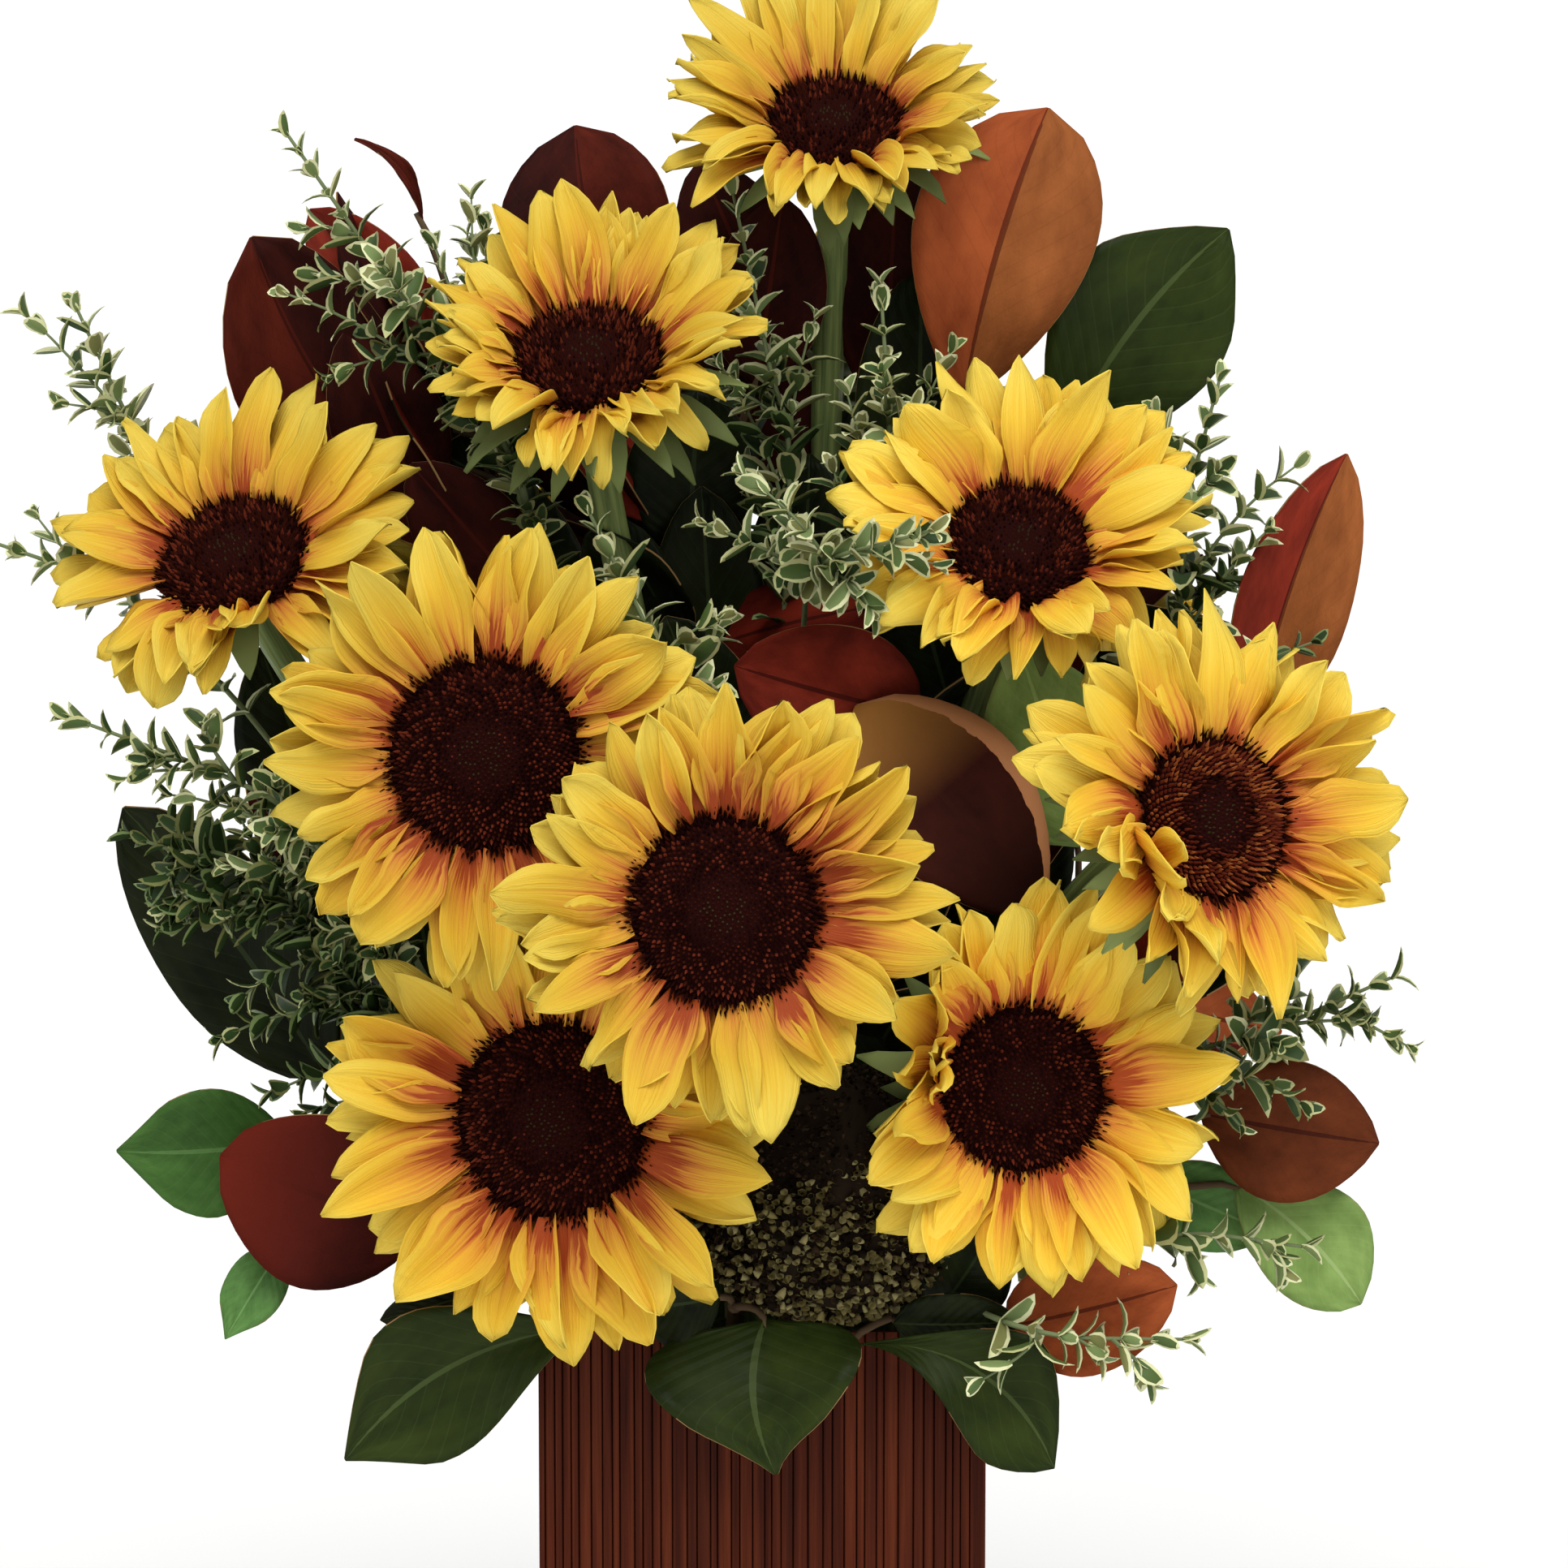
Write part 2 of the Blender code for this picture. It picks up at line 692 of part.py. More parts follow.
def leafMesh(start, leaf):
    """One closed leaf: a stalk out of the branch that widens into a thin pointed blade."""
    root, tip = millimetres(leaf[1]), millimetres(leaf[2])
    width, bow, fold = leaf[3] * MM, leaf[4] * MM, leaf[6] * MM
    turn = math.radians(leaf[5])
    along = (tip - root).normalized()
    front = Vector((math.sin(turn), -math.cos(turn), 0))
    face = (front - along * front.dot(along)).normalized()
    side = along.cross(face)
    middle = start.lerp(root, 0.5) + UP * 2 * MM
    bm = bmesh.new()
    rings = []
    headings = (middle - start, root - start, root - middle + along * 4 * MM)
    for point, heading in zip((start, middle, root), headings):
        heading.normalize()
        across = (side - heading * side.dot(heading)).normalized()
        above = across.cross(heading)
        rings.append(crossRing(bm, point, across, above, STALK_RADIUS, STALK_RADIUS, Vector()))
    for share in BLADE_SHARES:
        half = width / 2 * math.sin(math.pi * share) ** 0.6
        point = root.lerp(tip, share) + face * bow * 4 * share * (1 - share)
        lift = face * fold * math.sin(math.pi * share)
        rings.append(crossRing(bm, point, side, side.cross(along), half, BLADE_THICK / 2, lift))
    skin(bm, rings, capEnds=False)
    bm.faces.new(rings[0])
    end = bm.verts.new(tip)
    for k in range(4):
        bm.faces.new((end, rings[-1][k], rings[-1][(k + 1) % 4]))
    return bm


def branchParts(spec):
    """A branch's path, then the branch and each leaf that its table names."""
    foot, points, leaves = spec
    path = risingPath(foot, points, 3)
    parts = [tubeMesh(path, BRANCH_RADIUS, BRANCH_RADIUS * 0.7, 5)]
    parts += [leafMesh(pathAt(path, min(leaf[0], BRANCH_END)), leaf) for leaf in leaves]
    return path, parts


def fillerLeaf(path, rng):
    """One more leaf: out of a branch, away from the vase's axis and up."""
    share = rng.uniform(FILLER_FIRST, BRANCH_END)
    start = pathAt(path, share)
    aside = Vector((rng.uniform(-1, 1), rng.uniform(-1, 1), 0)) * FILLER_SPREAD
    out = Vector((start.x, start.y, 0)) + aside
    heading = (out.normalized() + UP * rng.uniform(0.2, 1.5)).normalized()
    root = start + heading * FILLER_STALK
    tip = root + heading * rng.uniform(*FILLER_LENGTH)
    turn = math.degrees(math.atan2(heading.x, -heading.y)) + rng.uniform(-70, 70)
    return share, root / MM, tip / MM, rng.uniform(*FILLER_WIDTH), rng.uniform(-6, 8), turn, 4


def fillerParts(name, path, seed, space):
    rng = random.Random(seed)
    length = sum((b - a).length for a, b in zip(path, path[1:]))
    parts = []
    for _ in range(FILLER_TRIES if length > LONG_BRANCH else 0):
        leaf = fillerLeaf(path, rng)
        tip = leaf[2] * MM
        if abs(tip.x) > FILLER_SIDE or tip.y < FILLER_FRONT or tip.z > FILLER_TOP:
            continue
        part = leafMesh(pathAt(path, leaf[0]), leaf)
        if len(parts) < FILLERS_EACH and space.isClear(part, name):
            parts.append(part)
            space.reserve(part, name)
    return parts


# variegated box


def leafRing(bm, middle, side, face, reach):
    """Both margins of a small leaf and its raised midrib."""
    keel = middle + face * BOX_LEAF_THICK * reach / (BOX_LEAF_WIDTH / 2)
    return [bm.verts.new(p) for p in (middle - side * reach, keel, middle + side * reach)]


def pairMesh(point, ways, axis, length):
    """Two facing leaves in one body that narrows to pass through the twig."""
    side = ways[0].cross(ways[1]).normalized()
    bm = bmesh.new()
    reach = BOX_LEAF_WIDTH / 2
    rings = [
        leafRing(bm, point + ways[0] * length * WIDEST_SHARE, side, axis, reach),
        leafRing(bm, point - axis * TWIG_RADIUS * 0.2, side, axis, TWIG_RADIUS * 0.6),
        leafRing(bm, point + ways[1] * length * WIDEST_SHARE, side, axis, reach),
    ]
    skin(bm, rings, capEnds=False)
    for way, ring in zip(ways, (rings[0], rings[-1])):
        tip = bm.verts.new(point + way * length)
        for k in range(3):
            bm.faces.new((tip, ring[k], ring[(k + 1) % 3]))
    return bm


def twigMesh(path, first, last):
    """A three-sided twig whose end flattens into a leaf."""
    bm = tubeMesh(path, first, last, 3)
    bm.faces.ensure_lookup_table()
    end = bm.faces[-1]
    corners = list(end.verts)
    bm.faces.remove(end)
    axis = (path[-1] - path[-2]).normalized()
    side = (corners[0].co - path[-1]).normalized()
    face = side.cross(axis)
    middle = path[-1] + axis * BOX_LEAF_LENGTH * WIDEST_SHARE
    ring = []
    for corner in corners:
        out = (corner.co - path[-1]).normalized()
        across = side * out.dot(side) * BOX_LEAF_WIDTH * 0.6
        ring.append(bm.verts.new(middle + across + face * out.dot(face) * BOX_LEAF_THICK))
    tip = bm.verts.new(path[-1] + axis * BOX_LEAF_LENGTH)
    for k in range(3):
        bm.faces.new((corners[k], corners[(k + 1) % 3], ring[(k + 1) % 3], ring[k]))
        bm.faces.new((ring[k], ring[(k + 1) % 3], tip))
    return bm


def leafPairs(path, first, rng, space):
    """Facing pairs along a twig, each turned from the last; a pair with no room is left out."""
    length = sum((b - a).length for a, b in zip(path, path[1:]))
    count = max(1, round(length * (1 - first) / BOX_LEAF_STEP))
    pairs = []
    turn = rng.uniform(0, math.tau)
    for k in range(count):
        share = first + (1 - first) * (k + 0.5) / count
        point = pathAt(path, share)
        axis = (pathAt(path, min(share + 0.05, 1)) - pathAt(path, share - 0.05)).normalized()
        cross = axis.orthogonal().normalized()
        cross.rotate(Matrix.Rotation(turn, 3, axis))
        turn += math.radians(90) + rng.uniform(-0.3, 0.3)
        ways = [(cross * way + axis * rng.uniform(0.5, 0.8)).normalized() for way in (1, -1)]
        pair = pairMesh(point, ways, axis, BOX_LEAF_LENGTH * rng.uniform(0.8, 1.1))
        if space.isClear(pair):
            pairs.append(pair)
    return pairs


def makeSprig(name, spec, seed, material, space):
    foot, points, sides = spec
    rng = random.Random(seed)
    path = risingPath(foot, points, 2)
    stem = twigMesh(path, TWIG_RADIUS * 1.5, TWIG_RADIUS * 0.8)
    parts = leafPairs(path, FIRST_BOX_LEAF, rng, space)
    for share, tip in sides:
        start = pathAt(path, share)
        end = millimetres(tip)
        heading = pathAt(path, min(share + 0.1, 1)) - start
        bend = start + heading.normalized() * (end - start).length * 0.4
        end = end.lerp(start, min(1, BOX_LEAF_LENGTH / (end - start).length) * 0.7)
        curve = bezierPath(start, start.lerp(bend, 0.6), bend.lerp(end, 0.5), end, 2)
        parts.append(twigMesh(curve, SIDE_TWIG_RADIUS, SIDE_TWIG_RADIUS * 0.7))
        parts += leafPairs([start, end], 0.2, rng, space)
    return fuse(name, stem, parts, material)


# dried florets


def makeClump(material):
    rng = random.Random(5)
    bm = bmesh.new()
    bmesh.ops.create_icosphere(bm, subdivisions=3, radius=1)
    half = Vector(CLUMP_HALF) * MM
    for vert in bm.verts:
        bump = 1 + rng.uniform(-CLUMP_BUMP, CLUMP_BUMP)
        vert.co = Vector((vert.co.x * half.x, vert.co.y * half.y, vert.co.z * half.z)) * bump
        vert.co += millimetres(CLUMP_PLACE)
    foot = Vector((CLUMP_FOOT[0] * MM, CLUMP_FOOT[1] * MM, FILL_TOP + GAP))
    stem = tubeMesh([foot, foot + UP * OVER_RIM / 2, millimetres(CLUMP_PLACE)], CLUMP_STEM, CLUMP_STEM, 5)
    return fuse("dried_clump", bm, [stem], material)


def build():
    clearScene()
    materials = {name: makeMaterial(name) for name in COLOURS}
    space = Space()
    space.add(makeVase(materials["slats"]))
    space.add(makeFilling(materials["foam"]))
    for seed, (name, spec) in enumerate(HEADS.items()):
        space.add(makeHead(name, spec, seed, materials["rays"]))
        space.add(makeStem(name, spec, materials["stalks"]))
    space.add(makeClump(materials["dried"]))
    branches = {name: branchParts(spec) for name, spec in BRANCHES.items()}
    for name, (path, parts) in branches.items():
        for part in parts:
            space.reserve(part, name)
    for seed, (name, spec) in enumerate(SPRIGS.items()):
        space.add(makeSprig(name, spec, seed, materials["box"], space))
    for seed, (name, (path, parts)) in enumerate(branches.items()):
        parts += fillerParts(name, path, seed, space)
        fuse(name, parts[0], parts[1:], materials["magnolia"])


build()
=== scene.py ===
# Sunflowers, magnolia leaves, variegated box and dried florets in a square vase of dark slats.
# Metres, +Z up, the front faces -Y. The tables of places are in millimetres: (right, back, up).
import math
import random
from collections import namedtuple

import bmesh
import bpy
import numpy as np
from mathutils import Matrix, Vector, noise


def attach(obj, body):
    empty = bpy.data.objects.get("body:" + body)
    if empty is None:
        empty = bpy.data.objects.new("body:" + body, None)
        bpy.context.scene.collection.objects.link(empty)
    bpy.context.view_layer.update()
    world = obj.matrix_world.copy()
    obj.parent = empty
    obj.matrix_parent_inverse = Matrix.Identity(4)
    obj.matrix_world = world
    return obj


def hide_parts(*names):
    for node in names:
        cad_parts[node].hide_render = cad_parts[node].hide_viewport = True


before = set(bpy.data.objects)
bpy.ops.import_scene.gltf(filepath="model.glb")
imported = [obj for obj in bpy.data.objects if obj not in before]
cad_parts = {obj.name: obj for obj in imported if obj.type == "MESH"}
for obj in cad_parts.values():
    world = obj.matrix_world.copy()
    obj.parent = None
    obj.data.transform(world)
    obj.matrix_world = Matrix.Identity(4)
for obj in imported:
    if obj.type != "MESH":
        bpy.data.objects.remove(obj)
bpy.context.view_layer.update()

mm = 0.001
up = Vector((0, 0, 1))
goldenTurn = math.radians(137.508)

studio = {
    "cameraPlace": (0.0063, -1.79647, 0.60355),
    "cameraTilt": 82.0,
    "lens": 140.54,
    "sensor": 36.0,
    "floorSize": 600.0,
    "floorColour": (0.96, 0.96, 0.95),
    "worldLight": 0.5,
    "lamps": {"key": (2.0, (35, 0, -6)), "fill": (0.6, (48, 0, 50))},
    "lampAngle": 46,
    "sight": 2000,
}


def setStudio():
    scene = bpy.context.scene
    camera = bpy.data.objects.new("camera", bpy.data.cameras.new("camera"))
    camera.data.sensor_width = studio["sensor"]
    camera.data.lens = studio["lens"]
    camera.data.clip_end = studio["sight"]
    camera.location = studio["cameraPlace"]
    camera.rotation_euler = (math.radians(studio["cameraTilt"]), 0, 0)
    scene.collection.objects.link(camera)
    scene.camera = camera
    scene.view_settings.view_transform = "Standard"
    world = bpy.data.worlds.new("studio")
    world.use_nodes = True
    world.node_tree.nodes["Background"].inputs[0].default_value = (1, 1, 1, 1)
    world.node_tree.nodes["Background"].inputs[1].default_value = studio["worldLight"]
    scene.world = world
    for name, (strength, turn) in studio["lamps"].items():
        light = bpy.data.lights.new(name, "SUN")
        light.energy = strength
        light.angle = math.radians(studio["lampAngle"])
        lamp = bpy.data.objects.new(name, light)
        lamp.rotation_euler = [math.radians(a) for a in turn]
        scene.collection.objects.link(lamp)
    bm = bmesh.new()
    bmesh.ops.create_grid(bm, x_segments=1, y_segments=1, size=studio["floorSize"] / 2)
    floor = bpy.data.objects.new("floor", meshFrom("floor", bm))
    floor.data.materials.append(plainFinish("paperFloor", studio["floorColour"], 0.9))
    scene.collection.objects.link(floor)


def plainFinish(name, colour, rough, specular=0.2):
    material = bpy.data.materials.new(name)
    material.use_nodes = True
    shader = material.node_tree.nodes["Principled BSDF"]
    shader.inputs["Base Color"].default_value = (*colour, 1)
    shader.inputs["Roughness"].default_value = rough
    shader.inputs["Specular IOR Level"].default_value = specular
    return material


class Nodes:
    # short ways to add nodes to a finish
    def __init__(self, material):
        self.tree = material.node_tree
        self.shader = self.tree.nodes["Principled BSDF"]

    def add(self, kind, **settings):
        node = self.tree.nodes.new(kind)
        for key, value in settings.items():
            setattr(node, key, value)
        return node

    def link(self, source, target):
        self.tree.links.new(source, target)

    def math(self, operation, first, second=None):
        node = self.add("ShaderNodeMath", operation=operation)
        for socket, value in zip(node.inputs, (first, second)):
            if value is None:
                continue
            if isinstance(value, (int, float)):
                socket.default_value = value
            else:
                self.link(value, socket)
        return node.outputs[0]

    def attribute(self, name):
        node = self.add("ShaderNodeAttribute", attribute_name=name)
        split = self.add("ShaderNodeSeparateXYZ")
        self.link(node.outputs["Vector"], split.inputs[0])
        return node.outputs["Vector"], split.outputs

    def noise(self, vector, stretch, detail=3.0, rough=0.55):
        mapping = self.add("ShaderNodeMapping")
        mapping.inputs["Scale"].default_value = stretch
        self.link(vector, mapping.inputs["Vector"])
        node = self.add("ShaderNodeTexNoise")
        node.inputs["Scale"].default_value = 1.0
        node.inputs["Detail"].default_value = detail
        node.inputs["Roughness"].default_value = rough
        self.link(mapping.outputs[0], node.inputs["Vector"])
        return node.outputs["Fac"]

    def ramp(self, fac, stops):
        node = self.add("ShaderNodeValToRGB")
        band = node.color_ramp
        while len(band.elements) < len(stops):
            band.elements.new(0.5)
        for element, (place, colour) in zip(band.elements, stops):
            element.position = place
            element.color = (*colour, 1)
        self.link(fac, node.inputs[0])
        return node.outputs[0]

    def mix(self, fac, first, second, blend="MIX"):
        node = self.add("ShaderNodeMix", data_type="RGBA", blend_type=blend)
        for socket, value in zip((node.inputs[0], node.inputs[6], node.inputs[7]), (fac, first, second)):
            if isinstance(value, (int, float)):
                socket.default_value = value
            elif isinstance(value, tuple):
                socket.default_value = (*value, 1)
            else:
                self.link(value, socket)
        return node.outputs[2]

    def bump(self, height, strength, distance):
        node = self.add("ShaderNodeBump")
        node.inputs["Strength"].default_value = strength
        node.inputs["Distance"].default_value = distance
        self.link(height, node.inputs["Height"])
        self.link(node.outputs[0], self.shader.inputs["Normal"])

    def colour(self, socket):
        self.link(socket, self.shader.inputs["Base Color"])


# a ray's colours from its foot to its tip, and how far the middle, streaks, creases and tint shift them
rayFinish = {
    "colours": [
        (0.02, (0.36, 0.055, 0.008)),
        (0.12, (0.6, 0.2, 0.025)),
        (0.3, (0.72, 0.36, 0.03)),
        (0.58, (0.8, 0.5, 0.035)),
        (0.98, (0.86, 0.64, 0.085)),
    ],
    "rough": 0.6,
    # the middle's shift makes a ray's edges lighter than its middle: a painted highlight along the edges
    "middle": 0.16,
    "streak": 0.6,
    # the creases' shift darkens the colour in the same grooves that the bump carves: painted shade in the
    # creases
    "crease": 0.5,
    "tint": 0.5,
}


# depth scales the colours: below 1 it is painted shade, above 1 painted light
def makeRayFinish(name, depth):
    look = rayFinish
    material = plainFinish(name, look["colours"][3][1], look["rough"])
    n = Nodes(material)
    vector, (across, out, tint) = n.attribute("ray")
    streak = n.noise(vector, (7.0, 1.1, 31.0), 3.0, 0.6)
    crease = n.noise(vector, (15.0, 0.8, 37.0), 2.0)
    # the edges are moved up the ramp towards the paler colours, a painted highlight
    place = n.math("ADD", out, n.math("MULTIPLY", n.math("ABSOLUTE", across), look["middle"]))
    # streaks and tint are the rays' own colour; the creases' share is painted shade in the grooves
    for source, share in ((streak, look["streak"]), (crease, look["crease"]), (tint, look["tint"])):
        place = n.math("ADD", place, n.math("MULTIPLY", n.math("SUBTRACT", source, 0.5), share))
    n.colour(n.ramp(place, [(stop, tuple(depth * c for c in colour)) for stop, colour in look["colours"]]))
    n.bump(n.math("ADD", n.noise(vector, (16.0, 0.7, 53.0), 2.0), crease), 0.5, 0.7 * mm)
    return material


stemFinish = {"dark": (0.085, 0.13, 0.04), "light": (0.28, 0.35, 0.11), "rough": 0.5}


def makeStemFinish():
    material = plainFinish("stemGreen", stemFinish["light"], stemFinish["rough"])
    n = Nodes(material)
    vector, _ = n.attribute("flow")
    streak = n.noise(vector, (3.0, 3.0, 0.25), 4.0)
    n.colour(n.ramp(streak, [(0.32, stemFinish["dark"]), (0.68, stemFinish["light"])]))
    n.bump(streak, 0.5, 0.5 * mm)
    return material


# a magnolia face's side veins and midrib, and where its start, end and band colours lie
veins = {
    "count": 11.0,
    "slant": 3.4,
    "wide": 0.035,
    "startFade": 2.2,
    "endFrom": 0.3,
    "endFade": 1.5,
    "band": -0.57,
}


def makeBladeFinish(name, look):
    # mottling, side veins and a midrib that differs in colour
    material = plainFinish(name, look["light"], look["rough"], look["specular"])
    n = Nodes(material)
    vector, (across, out, _) = n.attribute("blade")
    mottle = n.noise(vector, (1.6, 3.2, 17.0), 4.0, 0.6)
    base = n.ramp(mottle, [(0.3, look["dark"]), (0.7, look["light"])])
    reach = n.math("ABSOLUTE", across)
    count = n.math("MULTIPLY", out, veins["count"])
    slant = n.math("SUBTRACT", count, n.math("MULTIPLY", reach, veins["slant"]))
    wave = n.math("ABSOLUTE", n.math("SUBTRACT", n.math("FRACT", slant), 0.5))
    for source, show in ((wave, "veinShow"), (reach, "ribShow")):
        line = n.math("LESS_THAN", source, veins["wide"])
        base = n.mix(n.math("MULTIPLY", line, look[show]), base, look["rib"])
    if "start" in look:
        past = n.math("MULTIPLY", out, veins["startFade"])
        base = n.mix(n.math("SUBTRACT", 1.0, past), base, look["start"])
    if "end" in look:
        past = n.math("SUBTRACT", out, veins["endFrom"])
        base = n.mix(n.math("MULTIPLY", past, veins["endFade"]), base, look["end"])
    if "band" in look:
        edge = n.math("ADD", across, n.math("MULTIPLY", mottle, 0.4))
        base = n.mix(n.math("LESS_THAN", edge, veins["band"]), base, look["band"])
    n.colour(base)
    grain = n.math("MULTIPLY", n.noise(vector, (30.0, 60.0, 17.0), 2.0), look["grain"])
    n.bump(n.math("ADD", n.math("MULTIPLY", wave, look["veinBump"]), grain), 0.5, 0.6 * mm)
    return material


# a leaf's upper face is glossy; the under face, and folded and dry leaves, are felted
bladeKinds = {
    "glossy": {
        "rough": 0.36, "specular": 0.07, "veinShow": 0.14, "ribShow": 0.65, "veinBump": 0.7, "grain": 0.1,
    },
    "felted": {
        "rough": 0.7, "specular": 0.08, "veinShow": 0.12, "ribShow": 0.8, "veinBump": 0.25, "grain": 0.5,
    },
}


def glossy(dark, light, rib):
    return {"dark": dark, "light": light, "rib": rib, **bladeKinds["glossy"]}


def felted(dark, light, rib, **more):
    return {"dark": dark, "light": light, "rib": rib, **bladeKinds["felted"], **more}


bladeLooks = {
    "leafGreen": glossy((0.012, 0.02, 0.004), (0.031, 0.046, 0.008), (0.07, 0.1, 0.03)),
    "leafMid": glossy((0.028, 0.072, 0.015), (0.062, 0.145, 0.03), (0.1, 0.2, 0.06)),
    "leafYoung": glossy((0.06, 0.14, 0.035), (0.13, 0.28, 0.075), (0.2, 0.38, 0.12)),
    "leafLight": glossy((0.16, 0.24, 0.055), (0.32, 0.44, 0.12), (0.38, 0.5, 0.16)),
    "leafDeep": glossy((0.004, 0.006, 0.002), (0.016, 0.022, 0.006), (0.04, 0.06, 0.02)),
    "leafFresh": glossy((0.14, 0.23, 0.055), (0.26, 0.39, 0.11), (0.36, 0.48, 0.19)),
    "leafTan": felted((0.18, 0.052, 0.013), (0.35, 0.108, 0.028), (0.09, 0.015, 0.005)),
    "leafRust": felted((0.215, 0.042, 0.012), (0.4, 0.092, 0.025), (0.08, 0.011, 0.004)),
    "leafRusset": felted((0.075, 0.017, 0.005), (0.16, 0.036, 0.01), (0.04, 0.006, 0.003)),
    "leafScarlet": felted((0.1, 0.01, 0.005), (0.28, 0.03, 0.014), (0.05, 0.005, 0.003)),
    "leafRed": felted((0.09, 0.008, 0.0045), (0.22, 0.021, 0.009), (0.045, 0.005, 0.003)),
    "leafWine": felted((0.04, 0.005, 0.002), (0.11, 0.014, 0.006), (0.03, 0.004, 0.002)),
    "leafMaroon": felted((0.014, 0.002, 0.0015), (0.05, 0.007, 0.004), (0.08, 0.01, 0.005)),
    "leafBlushed": felted(
        (0.028, 0.0035, 0.002), (0.058, 0.006, 0.0035), (0.03, 0.004, 0.002), end=(0.12, 0.012, 0.005)
    ),
    "leafBanded": felted(
        (0.03, 0.005, 0.003), (0.08, 0.013, 0.006), (0.05, 0.009, 0.004),
        band=(0.56, 0.24, 0.1), start=(0.5, 0.22, 0.05), end=(0.016, 0.003, 0.0015),
    ),
}

plainLooks = {
    "floretDark": ((0.015, 0.0025, 0.002), 0.85, 0.03),
    "floretBrown": ((0.045, 0.008, 0.004), 0.85, 0.03),
    "floretRed": ((0.16, 0.027, 0.011), 0.85, 0.05),
    "floretOlive": ((0.05, 0.035, 0.012), 0.85, 0.05),
    "pollenOrange": ((0.42, 0.12, 0.03), 0.85, 0.05),
    "bractGreen": ((0.12, 0.15, 0.045), 0.6, 0.15),
    "bractPale": ((0.25, 0.31, 0.1), 0.6, 0.15),
    "twigGreen": ((0.16, 0.2, 0.09), 0.7, 0.2),
    "twigBrown": ((0.1, 0.065, 0.035), 0.8, 0.1),
    "boxDark": ((0.02, 0.04, 0.01), 0.5, 0.15),
    "boxDeep": ((0.036, 0.07, 0.02), 0.5, 0.2),
    "boxGreen": ((0.08, 0.13, 0.036), 0.5, 0.2),
    "boxGrey": ((0.19, 0.26, 0.095), 0.5, 0.2),
    "boxOlive": ((0.22, 0.23, 0.08), 0.5, 0.2),
    "boxCream": ((0.55, 0.56, 0.27), 0.5, 0.2),
    "boxPale": ((0.74, 0.75, 0.44), 0.5, 0.2),
    "leafRim": ((0.34, 0.2, 0.08), 0.6, 0.1),
    "driedDark": ((0.016, 0.01, 0.006), 0.9, 0.05),
    "driedBrown": ((0.042, 0.026, 0.014), 0.9, 0.05),
    "driedOlive": ((0.18, 0.147, 0.053), 0.9, 0.05),
    "driedPale": ((0.28, 0.24, 0.105), 0.9, 0.05),
}


def makeSlatFinish():
    material = plainFinish("darkSlat", (0.06, 0.02, 0.012), 0.5, 0.08)
    n = Nodes(material)
    place = n.add("ShaderNodeTexCoord").outputs["Object"]
    grain = n.noise(place, (420.0, 420.0, 9.0), 5.0, 0.65)
    tone = n.noise(place, (130.0, 130.0, 1.2), 2.0)
    colours = [(0.28, (0.03, 0.0045, 0.001)), (0.5, (0.08, 0.0145, 0.0045)), (0.78, (0.16, 0.036, 0.012))]
    shade = n.ramp(tone, [(0.3, (0.5, 0.44, 0.42)), (0.72, (1.0, 0.95, 0.9))])
    n.colour(n.mix(1.0, n.ramp(grain, colours), shade, "MULTIPLY"))
    n.bump(grain, 0.5, 0.4 * mm)
    return material


def makeMossFinish():
    material = plainFinish("moss", (0.05, 0.08, 0.02), 0.95, 0.05)
    n = Nodes(material)
    place = n.add("ShaderNodeTexCoord").outputs["Object"]
    clumps = n.noise(place, (140.0, 140.0, 140.0), 6.0, 0.7)
    colours = [(0.35, (0.012, 0.02, 0.006)), (0.55, (0.05, 0.075, 0.02)), (0.75, (0.13, 0.15, 0.05))]
    n.colour(n.ramp(clumps, colours))
    n.bump(clumps, 1.0, 3 * mm)
    return material


finishes = {}


def makeFinishes():
    # the deep and pale ray finishes are darker and lighter copies of one colour: painted shade and painted
    # light
    for name, depth in (("rayPetal", 1.0), ("rayPetalDeep", 0.87), ("rayPetalPale", 1.12)):
        finishes[name] = makeRayFinish(name, depth)
    finishes["stemGreen"] = makeStemFinish()
    finishes["darkSlat"] = makeSlatFinish()
    finishes["moss"] = makeMossFinish()
    for name, look in bladeLooks.items():
        finishes[name] = makeBladeFinish(name, look)
    for name, look in plainLooks.items():
        finishes[name] = plainFinish(name, *look)


def meshFrom(name, bm):
    mesh = bpy.data.meshes.new(name)
    bm.to_mesh(mesh)
    bm.free()
    return mesh


def addPiece(name, shape, finishNames, nodes, smooth=True):
    mesh = meshFrom(name, shape) if isinstance(shape, bmesh.types.BMesh) else shape
    for finish in finishNames:
        mesh.materials.append(finishes[finish])
    if smooth:
        mesh.shade_smooth()
    piece = bpy.data.objects.new(name, mesh)
    bpy.context.scene.collection.objects.link(piece)
    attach(piece, "root")
    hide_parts(*nodes)


def thicken(bm, faces, thickness):
    # a sheet of faces made a closed body
    bmesh.ops.recalc_face_normals(bm, faces=faces)
    bmesh.ops.solidify(bm, geom=faces, thickness=thickness * mm)


def joinedCopies(name, template, places, shades):
    # one mesh out of many placed copies of a small one, each with its own finish number
    corners = np.array([v.co[:] for v in template.verts])
    faces = [[v.index for v in f.verts] for f in template.faces]
    matrices = np.array([[row[:] for row in place] for place in places])
    points = np.einsum("nij,vj->nvi", matrices[:, :3, :3], corners) + matrices[:, None, :3, 3]
    count = len(corners)
    polygons = [[i + k * count for i in face] for k in range(len(places)) for face in faces]
    mesh = bpy.data.meshes.new(name)
    mesh.from_pydata(points.reshape(-1, 3).tolist(), [], polygons)
    own = np.array([f.material_index for f in template.faces])
    numbers = (np.array(shades)[:, None] + own[None, :]).ravel()
    mesh.polygons.foreach_set("material_index", numbers.astype(np.int32))
    mesh.update()
    return mesh


def millimetres(point):
    return Vector(point) * mm


